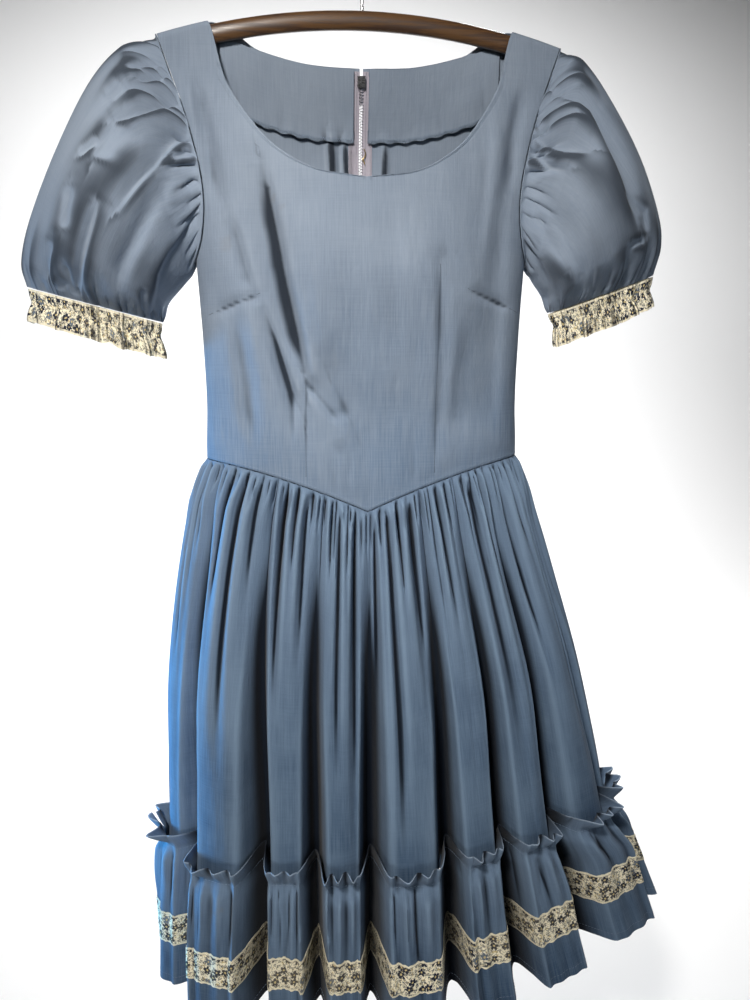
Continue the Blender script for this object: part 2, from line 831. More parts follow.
    def _slits(self, place: Points, drop: Points) -> Points:
        """Returns how far the lesser folds and the waist's fine gathers sink the cloth."""
        sunk = np.zeros(np.broadcast(place, drop).shape)
        mirrored = np.where(self.in_front(place), np.mod(place, 2), 1.985 - np.mod(place, 2))
        for centre, depth, top, bottom, width in self.LESSER:
            away = mirrored - centre
            run = ease(top - 6, top + 20, drop) * (1 - ease(0.2 * bottom, bottom, drop))
            spread = width * 0.001 * (1 + 0.5 * ease(60, 300, drop))
            sunk = sunk + depth * run * bump(0, spread, away)
        beat = 1 + 46 * math.pi * place + 2.4 * self.GATHER_SIZE.at(place * 45, 0.5)
        length = 44 + 34 * self.GATHER_SIZE.at(place * 45, 2.5)
        slit = 1 - np.abs(np.sin(beat)) ** 0.6
        return sunk + 6.5 * slit * ease(1.5, 8, drop) * (1 - ease(0.3 * length, length, drop))

    def point(self, place: Points, z: Points, out: Points = 0.0) -> Points:
        """Returns points of the skirt's outside.

        Args:
            place: places round the skirt.
            z: heights before the right side's rise.
            out: how far out from the skirt they are.

        Returns:
            The points, one for each place and height.
        """
        place, z = np.broadcast_arrays(place, z)
        drop = self.waist(place) - z
        x, y = self.plan(place, drop)
        x0, y0 = self.plan(place - 1e-3, drop)
        x1, y1 = self.plan(place + 1e-3, drop)
        length = np.hypot(x1 - x0, y1 - y0)
        off = self.relief(place, drop) + out
        rise = self.right_rise * ease(0, 1, x / self.PLAN.read("right", drop)) * drop / 587
        seam = np.where(self.in_front(place), -self.seam, self.seam)
        return np.stack(
            [x + (y1 - y0) / length * off, y - (x1 - x0) / length * off + seam, z + rise], -1
        )

    def clear(self, place: Points, z: Points, gap: float) -> Points:
        """Returns how far out a layer stands to clear the one beneath on a steep fold too."""
        drop = self.waist(place) - z
        step = 1 / 90
        x, y = self.plan(place, drop)
        here = self.relief(place, drop)
        slopes = []
        for way in (-step, step):
            near_x, near_y = self.plan(place + way, drop)
            rise = np.abs(self.relief(place + way, drop) - here)
            slopes.append(rise / np.hypot(near_x - x, near_y - y))
        return gap * np.minimum(self.steepest, np.hypot(1, np.maximum(*slopes)))

    def flounce(self, place: Points, z: Points) -> Points:
        """Returns points of the flounce's outside."""
        place, z = np.broadcast_arrays(place, z)
        _, share = self.fold(place)
        heading = ease(self.seam_height, self.heading_top, z)
        below = ease(-self.seam_height, -self.seam_height + 14, -z)
        size = 1 + 0.55 * self.FRILL.at(place * 22.5, 0.0)
        beat = 2 * math.pi * self.waves * share + 1.1 * self.FRILL.at(place * 12, 1.0)
        wave = (1 - np.cos(beat)) * self.FLOUNCE.read("wave", z) * size
        frill = (1 + self.FRILL.at(place * 70, 2.0)) * 5 * heading
        fade = 1 - ease(-self.trim_top - 40, -self.trim_top + 10, -z)
        gather = 1.6 - 5 * (1 - np.abs(self.FINE.at(place * 60, 2.5 - z / 300))) ** 5
        gather = gather * below * fade
        soft = self.LONG.at(place * 22, z / 160 + 2) * 1.8 * below
        out = self.FLOUNCE.read("off", z) + wave + frill + gather + soft
        lift = self.FRILL.at(place * 70, 0.6) * 3 * heading
        points = self.point(place, z, self.clear(place, z, self.clearance) + out)
        reach = points[..., 0] / self.PLAN.read("right", self.waist(place) - z)
        swing = ease(self.SWING["start"], self.SWING["end"], reach)
        swing = swing * ease(-self.seam_height, -self.trim_top, -z)
        points[..., 0] += swing * self.SWING["out"]
        points[..., 2] += swing * self.SWING["up"] + lift
        return points

    def places(self, panel: Panel, per_fold: int) -> Points:
        """Returns places round a panel, closer together near the folds' valleys."""
        start, end = (0.0, 1.0) if panel is Panel.FRONT else (1.0, 2.0)
        ends = np.append(self.VALLEYS[1:], self.VALLEYS[0] + 2)
        share = np.arange(per_fold) / per_fold
        share = share - 0.09 * np.sin(2 * math.pi * share)
        columns = mix(self.VALLEYS[:, None], ends[:, None], share[None, :]).ravel()
        columns = np.concatenate([columns, columns + 2])
        inside = columns[(columns > start + 0.002) & (columns < end - 0.002)]
        return np.concatenate([[start + 1e-7], np.sort(inside), [end - 1e-7]])


@dataclass
class SleeveForm:
    """The shape of a puffed sleeve and of the band at its end."""

    bodice: BodiceForm
    side: Side
    COLUMNS = "at topX topZ underX underZ front back"
    PUFF = {
        Side.LEFT: Table(
            COLUMNS,
            (0, 191, -119, 164, -323, 20, 16),
            (0.15, 218, -131, 168, -332, 44, 36),
            (0.35, 252, -165, 174, -342, 62, 50),
            (0.55, 287, -224, 183, -353, 68, 55),
            (0.75, 315, -284, 192, -363, 58, 48),
            (0.9, 326, -323, 197, -371, 38, 34),
            (1, 323, -345, 200, -377, 22, 21),
        ),
        Side.RIGHT: Table(
            COLUMNS,
            (0, 191, -119, 164, -323, 20, 16),
            (0.15, 209, -129, 168, -329, 44, 36),
            (0.35, 240, -165, 174, -336, 62, 50),
            (0.55, 272, -217, 180, -345, 68, 55),
            (0.75, 295, -268, 186, -354, 58, 48),
            (0.9, 303, -301, 190, -361, 38, 34),
            (1, 298, -329, 193, -366, 22, 21),
        ),
    }
    HEMS = {
        Side.LEFT: {"topX": 319, "topZ": -379, "underX": 204, "underZ": -411},
        Side.RIGHT: {"topX": 296, "topZ": -362, "underX": 207, "underZ": -398},
    }
    FRONT_CREASES = {
        Side.LEFT: creases(
            (8, 6, 3, (-182, -156), (-204, -163)),
            (9, 8, 3.5, (-173, -179), (-200, -193), (-223, -206)),
            (4.5, 5, 3, (-188, -143), (-216, -157)),
            (3.5, 6, 5, (-217, -171), (-229, -184)),
            (4.5, 4, 3, (-235, -223), (-253, -237)),
            (6, 5, 13, (-222, -206), (-230, -225), (-238, -242)),
            (9, 11, 3.5, (-164, -208), (-176, -218), (-195, -246), (-221, -283)),
            (7, 5, 3, (-160, -226), (-178, -232)),
            (4, 4, 3, (-155, -250), (-166, -259)),
            (9, 6, 4, (-239, -279), (-255, -316), (-273, -359)),
            (7, 9, 6, (-180, -252), (-193, -285), (-207, -313), (-234, -357)),
            (9, 4.5, 14, (-146, -266), (-166, -300), (-188, -340), (-197, -364)),
            (4, 3, 4, (-151, -287), (-168, -291)),
            (4, 6, 5, (-284, -306), (-302, -340)),
            (4.5, 3.5, 3.5, (-276, -326), (-277, -353)),
            (7, 5, 5, (-160, -316), (-164, -333), (-170, -358)),
            (3.5, 3, 3, (-206, -350), (-212, -369)),
            (3.5, 3, 3, (-279, -340), (-290, -349)),
            (3.5, 5, 7, (-262, -262), (-272, -300)),
        ),
        Side.RIGHT: creases(
            (9, 6, 13, (182, -154), (203, -168), (217, -178), (235, -225), (248, -264), (260, -290)),
            (8, 4, 11, (166, -200), (189, -219), (205, -222)),
            (7, 3.5, 6, (156, -209), (178, -234), (189, -237)),
            (8, 5, 13, (150, -232), (157, -255), (174, -275), (198, -323), (219, -352)),
            (6, 3.5, 6, (147, -255), (164, -275), (179, -306), (194, -330)),
            (7, 5, 4, (152, -298), (171, -322), (185, -354)),
            (4.5, 4, 4, (252, -306), (270, -299)),
            (5, 4, 4, (250, -307), (263, -333)),
            (5, 6, 4, (244, -263), (267, -274), (273, -293)),
            (3.5, 3, 3, (203, -334), (212, -353)),
            (3.5, 3, 3, (216, -328), (226, -351)),
            (3.5, 3, 3, (237, -327), (243, -347)),
            (3.5, 3, 3, (262, -330), (266, -346)),
            (4, 3, 3.5, (172, -151), (187, -162)),
            (4, 3, 3.5, (162, -185), (178, -198)),
        ),
    }
    BACK_CREASES = creases(
        (6, 9, 4, (172, -158), (205, -190), (236, -240)),
        (7, 10, 4, (160, -205), (192, -250), (214, -300)),
        (6, 8, 5, (152, -245), (178, -290), (196, -345)),
        (5, 8, 5, (230, -200), (268, -262), (285, -310)),
        (5, 5, 5, (240, -290), (262, -342)),
        (4, 5, 4, (150, -275), (168, -322)),
        (4, 4, 4, (205, -320), (220, -354)),
    )
    armhole_gap: float = 1.0
    gathers: int = 14
    pleat_count: int = 16
    deepest: float = 9.0
    cap: float = 2.2
    cuff: float = 1.8
    frill: float = 3.6
    folds: int = 5
    fold_depth: float = 5.0

    def __post_init__(self) -> None:
        """Draws the unevenness of this side's sleeve."""
        self.pleats = Wander(21 + self.side.way, 56, 4)
        self.fine = Wander(31 + self.side.way, 96, 8)
        self.drape = Wander(41 + self.side.way, 14, 6)

    def point(self, at: Points, turn: Points) -> Points:
        """Returns points of the sleeve's outside.

        Args:
            at: 0 at the armhole, 1 at the cuff.
            turn: the angle from the sleeve's top, over its front.

        Returns:
            The points.
        """
        at, turn = np.broadcast_arrays(at, np.mod(turn, 2 * math.pi))
        down, in_front = np.cos(turn), turn < math.pi
        table = self.PUFF[self.side]
        top_x, top_z, under_x, under_z, front, back = (
            table.read(name, at) for name in self.COLUMNS.split()[1:]
        )
        mid = np.stack([(top_x + under_x) / 2, 0 * at, (top_z + under_z) / 2], -1)
        arm_up = 1 - np.where(in_front, turn, 2 * math.pi - turn) / math.pi
        arm_x = self.bodice.ARMHOLE.read("x", arm_up)
        arm_z = self.bodice.ARMHOLE.read("z", arm_up)
        deep = np.where(
            in_front,
            -self.bodice.depth(arm_x, arm_z, Panel.FRONT) - 0.2,
            self.bodice.depth(arm_x, arm_z, Panel.BACK) + 0.2,
        )
        puffed = np.stack(
            [
                mid[..., 0] + down * (top_x - under_x) / 2,
                -np.sin(turn) * np.where(in_front, front, back),
                mid[..., 2] + down * (top_z - under_z) / 2,
            ],
            -1,
        )
        armhole = np.stack([arm_x + self.armhole_gap, deep, arm_z], -1)
        points = mix(armhole, puffed, ease(0, 0.17, at)[..., None])
        relief = self._relief(at, turn, down) - self._creased(points, at, turn)
        points = points + unit(points - mid) * relief[..., None]
        points[..., 0] *= self.side.way
        return points

    def _creased(self, points: Points, at: Points, turn: Points) -> Points:
        """Returns how far the long creases sink the cloth, in front and behind."""
        x, z = points[..., 0], points[..., 2]
        front = sum(c.sunk(x * self.side.way, z) for c in self.FRONT_CREASES[self.side])
        back = sum(c.sunk(x, z) for c in self.BACK_CREASES)
        facing = ease(0.0, 0.4, np.abs(np.sin(turn)))
        free = ease(0.0, 0.04, at) * (1 - ease(0.95, 1, at)) * facing
        most = self.deepest
        return most * np.tanh(np.where(turn < math.pi, front, back) / most) * free

    def _relief(self, at: Points, turn: Points, down: Points) -> Points:
        """Returns how far folds, cap pleats and cuff gathers stand out from the plain puff."""
        share = turn / (2 * math.pi)
        cap = ease(0, 0.06, at) * (1 - ease(0.1, 0.5, at)) * ease(-0.9, 0.2, down)
        cuff = ease(0.6, 0.97, at)
        beat = self.gathers * turn + 0.7 * self.pleats.at(share * 20, 0.5)
        gather = -np.cos(beat) * (self.cap * cap + self.cuff * cuff)
        middle = ease(0.05, 0.4, at) * (1 - ease(0.7, 1, at))
        folds = np.sin(self.folds * turn + 2.2 * at) * self.fold_depth * 0.4 * middle
        uneven = self.pleats.at(share * 28, 2.5)
        beat = self.pleat_count * (turn + at * 0.5 * np.sign(math.pi - turn)) + 1.2 * uneven
        length = 0.19 + 0.13 * self.pleats.at(share * 56, 0.5)
        pleat = 1 - np.abs(np.sin(beat)) ** 0.55
        pleat = -6.5 * pleat * ease(0.004, 0.03, at) * (1 - ease(0.35 * length, length, at))
        beat = self.pleat_count * 1.25 * turn + 1.5 * uneven
        start = 0.84 + 0.08 * self.pleats.at(share * 56, 1.5)
        crush = -4 * (1 - np.abs(np.sin(beat)) ** 0.6) * ease(start, 0.97, at)
        drape = self.drape.at(share * 14 + at * 1.8, at * 2.6) * 2.2 * middle
        return gather + folds + pleat + crush + drape - 1.5 * middle

    def band(self, down: Points, turn: Points) -> Points:
        """Returns points of the printed band, from its top (0) to its frilly edge (1)."""
        down, turn = np.broadcast_arrays(down, np.mod(turn, 2 * math.pi))
        table, hem = self.PUFF[self.side], self.HEMS[self.side]

        def read(column: str) -> Points:
            """Reads a column between the puff's end and the hem."""
            return mix(table.read(column, 1.0), hem[column], down)

        deep = np.where(turn < math.pi, table.read("front", 1.0), table.read("back", 1.0))
        cos = np.cos(turn)
        out = np.stack(
            [
                cos * (read("topX") - read("underX")) / 2,
                -np.sin(turn) * deep,
                cos * (read("topZ") - read("underZ")) / 2,
            ],
            -1,
        )
        share = turn / (2 * math.pi)
        beat = self.gathers * turn + 0.7 * self.pleats.at(share * 20, 0.5)
        frill = mix(self.cuff, self.frill, ease(0.3, 1, down))
        fine = self.fine.at(share * 96, down * 1.5 + 3) * mix(1.2, 1.9, down)
        ruche = -2.6 * (1 - np.abs(np.sin(36 * turn + 2 * self.fine.at(share * 48, 6.5)))) ** 2
        reach = -np.cos(beat) * frill + fine + ruche + 4 * ease(0.4, 1, down) ** 1.2
        reach = reach - 1.6 * bump(0.42, 0.13, down)
        mid = np.stack(
            [(read("topX") + read("underX")) / 2, 0 * cos, (read("topZ") + read("underZ")) / 2], -1
        )
        points = mid + out + unit(out) * reach[..., None]
        points[..., 2] += self.fine.at(share * 48, 1.5) * 1.8 * ease(0.7, 1, down)
        points[..., 0] *= self.side.way
        return points


# Finishes


class Graph:
    """Adds nodes to a tree and links them in short calls."""

    def __init__(self, tree: bpy.types.NodeTree) -> None:
        """Works on one tree."""
        self.tree = tree

    def feed(self, socket: bpy.types.NodeSocket, value: object) -> None:
        """Links a socket to another, or sets its value. None leaves it as it is."""
        if isinstance(value, bpy.types.NodeSocket):
            self.tree.links.new(value, socket)
        elif value is not None:
            socket.default_value = value

    def add(self, kind: str, *values: object, out: object = 0, **settings: object):
        """Adds a node.

        Args:
            kind: the node's type, without "ShaderNode" where it starts so.
            values: what its inputs get, in their order.
            out: the output to return, by number or name.
            settings: the node's own properties, or inputs by name where it has none such.

        Returns:
            The chosen output socket.
        """
        node = self.tree.nodes.new(kind if "Node" in kind else "ShaderNode" + kind)
        for name, value in settings.items():
            if hasattr(node, name):
                setattr(node, name, value)
        for name, value in settings.items():
            title = name.replace("_", " ")
            if not hasattr(node, name) and title in node.inputs:
                self.feed(node.inputs[title], value)
        for socket, value in zip(node.inputs, values):
            self.feed(socket, value)
        return node.outputs[out] if node.outputs else node

    def math(self, operation: str, *values: object):
        """Adds a Math node and returns its value."""
        return self.add("Math", *values, operation=operation)

    def vector(self, operation: str, *values: object, out: object = 0):
        """Adds a Vector Math node and returns one of its outputs."""
        return self.add("VectorMath", *values, operation=operation, out=out)

    def blend(self, share: object, first: object, second: object, how: str = "MIX"):
        """Mixes two colours and returns the result."""
        node = self.tree.nodes.new("ShaderNodeMix")
        node.data_type, node.blend_type = "RGBA", how
        for number, value in ((0, share), (6, first), (7, second)):
            self.feed(node.inputs[number], value)
        return node.outputs[2]

    def step(self, low: object, high: object, value: object):
        """Returns 0 below one level, 1 above the other, and a soft step between."""
        limits = {"Value": value, "From_Min": low, "From_Max": high}
        return self.add("MapRange", interpolation_type="SMOOTHSTEP", **limits)

    def noise(self, vector: object, scale: object, detail: float = 2.0, rough: float = 0.5):
        """Returns noise from 0 to 1."""
        return self.add("TexNoise", Vector=vector, Scale=scale, Detail=detail, Roughness=rough)

    def scaled(self, vector: object, by: object):
        """Returns a vector times a number."""
        return self.add("VectorMath", vector, operation="SCALE", Scale=by)

    def stretched(self, vector: object, across: float, down: float):
        """Returns a vector scaled by different amounts across and down."""
        return self.vector("MULTIPLY", vector, (across, down, 1.0))

    def bump(self, height: object, distance: float, strength: float = 1.0, normal: object = None):
        """Returns the normal of a surface raised by a height from 0 to 1."""
        return self.add("Bump", Height=height, Distance=distance, Strength=strength, Normal=normal)


def make_group(
    name: str, inputs: dict[str, str], outputs: dict[str, str], kind: str = "ShaderNodeTree"
):
    """Starts a node group.

    Args:
        name: the group's name.
        inputs: the kind of each input socket, by name.
        outputs: the kind of each output socket, by name.
        kind: the kind of tree.

    Returns:
        The group, its Graph, its input node and its output node.
    """
    tree = bpy.data.node_groups.new(name, kind)
    for way, sockets in (("INPUT", inputs), ("OUTPUT", outputs)):
        for title, kind in sockets.items():
            tree.interface.new_socket(name=title, in_out=way, socket_type="NodeSocket" + kind)
    entry, exit_ = tree.nodes.new("NodeGroupInput"), tree.nodes.new("NodeGroupOutput")
    return tree, Graph(tree), entry, exit_


class Effects:
    """The node groups that several finishes share."""

    TURN = 6.28

    def __init__(self) -> None:
        """Builds each group once."""
        self.weave = self._weave()
        self.wear = self._wear()
        self.print = self._print()

    @staticmethod
    def _weave() -> bpy.types.NodeTree:
        """Plain weave with slubs: height of the threads, and light and dark streaks."""
        tree, graph, entry, leave = make_group(
            "weave",
            {"Flat": "Vector", "Threads": "Float"},
            {"Height": "Float", "Streaks": "Float"},
        )
        flat, threads = entry.outputs["Flat"], entry.outputs["Threads"]
        turns = graph.math("MULTIPLY", threads, 2 * math.pi)
        parts = graph.add("SeparateXYZ", graph.scaled(flat, turns)).node
        warp = graph.math("SINE", parts.outputs[0])
        weft = graph.math("SINE", parts.outputs[1])
        threads_height = graph.math("MULTIPLY_ADD", graph.math("MULTIPLY", warp, weft), 0.5, 0.5)
        down = graph.noise(graph.stretched(flat, 950.0, 26.0), 1.0, 2.0)
        across = graph.noise(graph.stretched(flat, 24.0, 950.0), 1.0, 2.0)
        streaks = graph.math("MULTIPLY_ADD", across, 0.28, graph.math("MULTIPLY", down, 0.72))
        tree.links.new(threads_height, leave.inputs["Height"])
        tree.links.new(streaks, leave.inputs["Streaks"])
        return tree

    @staticmethod
    def _wear() -> bpy.types.NodeTree:
        """Age of washed cotton: faded patches, faint stains and small wrinkles."""
        tree, graph, entry, leave = make_group(
            "wear",
            {"Place": "Vector", "Flat": "Vector"},
            {"Faded": "Float", "Stained": "Float", "Wrinkles": "Float"},
        )
        place, flat = entry.outputs["Place"], entry.outputs["Flat"]
        faded = graph.step(0.36, 0.7, graph.noise(place, 7.0, 4.0, 0.6))
        spots = graph.noise(place, 34.0, 3.0, 0.6)
        zones = graph.step(0.55, 0.7, graph.noise(place, 5.5, 1.0))
        stained = graph.math("MULTIPLY", graph.step(0.62, 0.74, spots), zones)
        crush = graph.noise(graph.stretched(flat, 90.0, 38.0), 1.0, 3.0, 0.55)
        ridges = graph.math("ABSOLUTE", graph.math("SUBTRACT", crush, 0.5))
        tree.links.new(faded, leave.inputs["Faded"])
        tree.links.new(stained, leave.inputs["Stained"])
        tree.links.new(graph.math("MULTIPLY", ridges, 2.0), leave.inputs["Wrinkles"])
        return tree

    def _flowers(self, graph: Graph, flat: object, every: float, size: float, petals: int):
        """Scatters simple flowers.

        Args:
            graph: the graph to add them to.
            flat: the vector on the flat cloth, in metres.
            every: the distance between them in metres.
            size: the reach of a petal, as a share of that distance.
            petals: how many petals each has.

        Returns:
            The flowers' mask, their eyes' mask and a random colour for each flower.
        """
        cells = graph.tree.nodes.new("ShaderNodeTexVoronoi")
        cells.voronoi_dimensions, cells.feature = "2D", "F1"
        graph.feed(cells.inputs["Vector"], flat)
        cells.inputs["Scale"].default_value = 1 / every
        cells.inputs["Randomness"].default_value = 0.8
        middle = graph.scaled(cells.outputs["Position"], 1 / every)
        own = graph.scaled(flat, 1 / every)
        away = graph.add("SeparateXYZ", graph.vector("SUBTRACT", own, middle)).node
        angle = graph.math("ARCTAN2", away.outputs[1], away.outputs[0])
        tint = graph.add("SeparateColor", cells.outputs["Color"]).node
        turned = graph.math("MULTIPLY_ADD", tint.outputs[0], self.TURN, angle)
        lobes = graph.math("ABSOLUTE", graph.math("COSINE", graph.math("MULTIPLY", turned, petals / 2)))
        reach = graph.math("MULTIPLY", graph.math("MULTIPLY_ADD", lobes, 0.5, 0.5), size)
        inside = graph.math("SUBTRACT", reach, cells.outputs["Distance"])
        mask = graph.step(-0.015, 0.03, inside)
        eye = graph.step(0.27 * size, 0.2 * size, cells.outputs["Distance"])
        return mask, eye, tint

    def _print(self) -> bpy.types.NodeTree:
        """A small all-over flower print."""
        tree, graph, entry, leave = make_group(
            "flower print",
            {"Flat": "Vector", "Cotton": "Color"},
            {"Colour": "Color"},
        )
        flat = entry.outputs["Flat"]
        bend = graph.add("TexNoise", out=1, Scale=170.0, Detail=1.0)
        tree.links.new(flat, bend.node.inputs["Vector"])
        shift = graph.scaled(graph.vector("SUBTRACT", bend, (0.5, 0.5, 0.5)), 0.0035)
        loose = graph.vector("ADD", flat, shift)
        scroll = graph.noise(flat, 210.0, 1.5, 0.55)
        line = graph.math("ABSOLUTE", graph.math("SUBTRACT", scroll, 0.5))
        stems = graph.step(0.028, 0.012, line)
        ground = graph.blend(
            graph.step(0.56, 0.66, graph.noise(flat, 300.0, 1.0)),
            entry.outputs["Cotton"],
            (0.56, 0.45, 0.22, 1),
        )
        colour = graph.blend(stems, ground, (0.1, 0.11, 0.12, 1))
        leaf, bud, leaf_tint = self._flowers(graph, loose, 0.006, 0.33, 3)
        leaves = graph.blend(leaf_tint.outputs[1], (0.03, 0.04, 0.06, 1), (0.2, 0.21, 0.18, 1))
        colour = graph.blend(graph.math("MULTIPLY", leaf, 0.8), colour, leaves)
        colour = graph.blend(bud, colour, entry.outputs["Cotton"])
        mask, eye, tint = self._flowers(graph, loose, 0.0125, 0.39, 5)
        petals = graph.blend(
            graph.step(0.8, 0.86, tint.outputs[1]), (0.014, 0.02, 0.04, 1), (0.13, 0.16, 0.2, 1)
        )
        colour = graph.blend(mask, colour, petals)
        colour = graph.blend(eye, colour, (0.62, 0.5, 0.24, 1))
        tree.links.new(colour, leave.inputs["Colour"])
        return tree


def use_group(graph: Graph, tree: bpy.types.NodeTree, **values: object) -> bpy.types.Node:
    """Places a node group in a graph and feeds its named inputs."""
    node = graph.tree.nodes.new("ShaderNodeGroup")
    node.node_tree = tree
    for name, value in values.items():
        graph.feed(node.inputs[name], value)
    return node


def start_material(name: str) -> tuple[bpy.types.Material, Graph, bpy.types.Node]:
    """Returns a new material, its graph and its Principled shader."""
    material = bpy.data.materials.new(name)
    material.use_nodes = True
    return material, Graph(material.node_tree), material.node_tree.nodes["Principled BSDF"]


@dataclass(frozen=True)
class ClothFinish:
    """Washed cotton chambray. Colours are linear; the deep one is that of the hem."""

    name: str
    colour: Colour
    deep: Colour
    pale: Colour
    top: float
    bottom: float
    edge: tuple[float, float] = (0.0, 0.0)
    threads: float = 1900.0
    roughness: float = 0.82
    sheen: float = 0.05
    gloss: float = 0.14
    shade: float = 0.9

    def build(self, effects: Effects) -> bpy.types.Material:
        """Builds the material.

        Args:
            effects: the shared node groups.

        Returns:
            The material.
        """
        material, graph, shader = start_material(self.name)
        flat = graph.add("UVMap", uv_map="flat")
        place = graph.add("TexCoord", out="Object")
        weave = use_group(graph, effects.weave, Flat=flat, Threads=self.threads)
        wear = use_group(graph, effects.wear, Place=place, Flat=flat)
        height = graph.add("SeparateXYZ", place, out=2)
        low = graph.step(self.top * MM, self.bottom * MM, height)
        colour = graph.blend(low, self.colour, self.deep)
        faded = graph.math("MULTIPLY", wear.outputs["Faded"], 0.3)
        colour = graph.blend(faded, colour, self.pale)
        streak = graph.step(0.32, 0.68, weave.outputs["Streaks"])
        colour = graph.blend(graph.math("MULTIPLY", streak, 0.26), colour, self.pale)
        shade = graph.blend(0.5, colour, (0.16, 0.13, 0.09, 1))
        colour = graph.blend(graph.math("MULTIPLY", wear.outputs["Stained"], 0.4), colour, shade)
        hollow = graph.add("Attribute", attribute_name="hollow", out="Fac")
        colour = graph.blend(graph.step(-0.15, -1.9, hollow), colour, self.pale)
        if self.edge[1] > 0:
            down = graph.add("SeparateXYZ", flat, out=1)
            line = graph.step(self.edge[1] * MM, self.edge[0] * MM, down)
            colour = graph.blend(graph.math("MULTIPLY", line, 0.4), colour, (0.42, 0.5, 0.6, 1))
        dim = graph.blend(self.shade, colour, (0.002, 0.004, 0.009, 1))
        colour = graph.blend(graph.step(0.0, 1.0, hollow), colour, dim)
        fine = graph.bump(weave.outputs["Height"], 0.00006, 0.6)
        normal = graph.bump(wear.outputs["Wrinkles"], 0.0011, 0.45, fine)
        graph.feed(shader.inputs["Base Color"], colour)
        graph.feed(shader.inputs["Normal"], normal)
        dull = graph.math("MULTIPLY", graph.step(-0.1, 0.7, hollow), 1.0 - self.roughness)
        graph.feed(shader.inputs["Roughness"], graph.math("ADD", dull, self.roughness))
        shader.inputs["Sheen Weight"].default_value = self.sheen
        shader.inputs["Sheen Roughness"].default_value = 0.5
        shader.inputs["Specular IOR Level"].default_value = self.gloss
        return material


@dataclass(frozen=True)
class PrintFinish:
    """Flower-printed cotton with a pale stitched line near each edge."""

    name: str
    cotton: Colour
    width: float
    roughness: float = 0.85

    def build(self, effects: Effects) -> bpy.types.Material:
        """Builds the material.

        Args:
            effects: the shared node groups.

        Returns:
            The material.
        """
        material, graph, shader = start_material(self.name)
        flat = graph.add("UVMap", uv_map="flat")
        place = graph.add("TexCoord", out="Object")
        weave = use_group(graph, effects.weave, Flat=flat, Threads=1700.0)
        wear = use_group(graph, effects.wear, Place=place, Flat=flat)
        flowers = use_group(graph, effects.print, Flat=flat, Cotton=self.cotton)
        down = graph.add("SeparateXYZ", flat, out=1)
        middle = graph.math("ABSOLUTE", graph.math("SUBTRACT", down, self.width / 2 * MM))
        edge = graph.step((self.width / 2 - 2.4) * MM, (self.width / 2 - 1.5) * MM, middle)
        colour = graph.blend(graph.math("MULTIPLY", edge, 0.85), flowers.outputs["Colour"], self.cotton)
        colour = graph.blend(
            graph.math("MULTIPLY", wear.outputs["Faded"], 0.25), colour, (0.36, 0.31, 0.2, 1)
        )
        hollow = graph.add("Attribute", attribute_name="hollow", out="Fac")
        dark = graph.blend(0.8, colour, (0.012, 0.011, 0.01, 1))
        colour = graph.blend(graph.step(0.25, 1.1, hollow), colour, dark)
        fine = graph.bump(weave.outputs["Height"], 0.00006, 0.6)
        normal = graph.bump(wear.outputs["Wrinkles"], 0.0008, 0.4, fine)
        graph.feed(shader.inputs["Base Color"], colour)
        graph.feed(shader.inputs["Normal"], normal)
        shader.inputs["Roughness"].default_value = self.roughness
        shader.inputs["Specular IOR Level"].default_value = 0.25
        return material


@dataclass(frozen=True)
class HardFinish:
    """Metal or varnished wood, with fine marks along it."""

    name: str
    colour: Colour
    marked: Colour
    roughness: float
    metallic: float
    coat: float
    stretch: Triple
    relief: float

    def build(self) -> bpy.types.Material:
        """Builds the material and returns it."""
        material, graph, shader = start_material(self.name)
        place = graph.add("TexCoord", out="Object")
        marks = graph.noise(graph.vector("MULTIPLY", place, self.stretch), 1.0, 5.0, 0.65)
        share = graph.step(0.42, 0.62, marks)
        graph.feed(shader.inputs["Base Color"], graph.blend(share, self.colour, self.marked))
        rough = graph.math("MULTIPLY_ADD", share, 0.14, self.roughness)
        graph.feed(shader.inputs["Roughness"], rough)
        graph.feed(shader.inputs["Normal"], graph.bump(marks, self.relief * MM, 0.5))
        shader.inputs["Metallic"].default_value = self.metallic
        shader.inputs["Coat Weight"].default_value = self.coat
        return material


@dataclass(frozen=True)
class ThreadFinish:
    """Sewing thread."""

    name: str
    colour: Colour

    def build(self) -> bpy.types.Material:
        """Builds the material and returns it."""
        material, graph, shader = start_material(self.name)
        place = graph.add("TexCoord", out="Object")
        twist = graph.noise(place, 900.0, 1.0)
        darker = tuple(0.6 * part for part in self.colour[:3]) + (1.0,)
        graph.feed(shader.inputs["Base Color"], graph.blend(twist, darker, self.colour))
        graph.feed(shader.inputs["Normal"], graph.bump(twist, 0.00008, 0.5))
        shader.inputs["Roughness"].default_value = 0.6
        return material


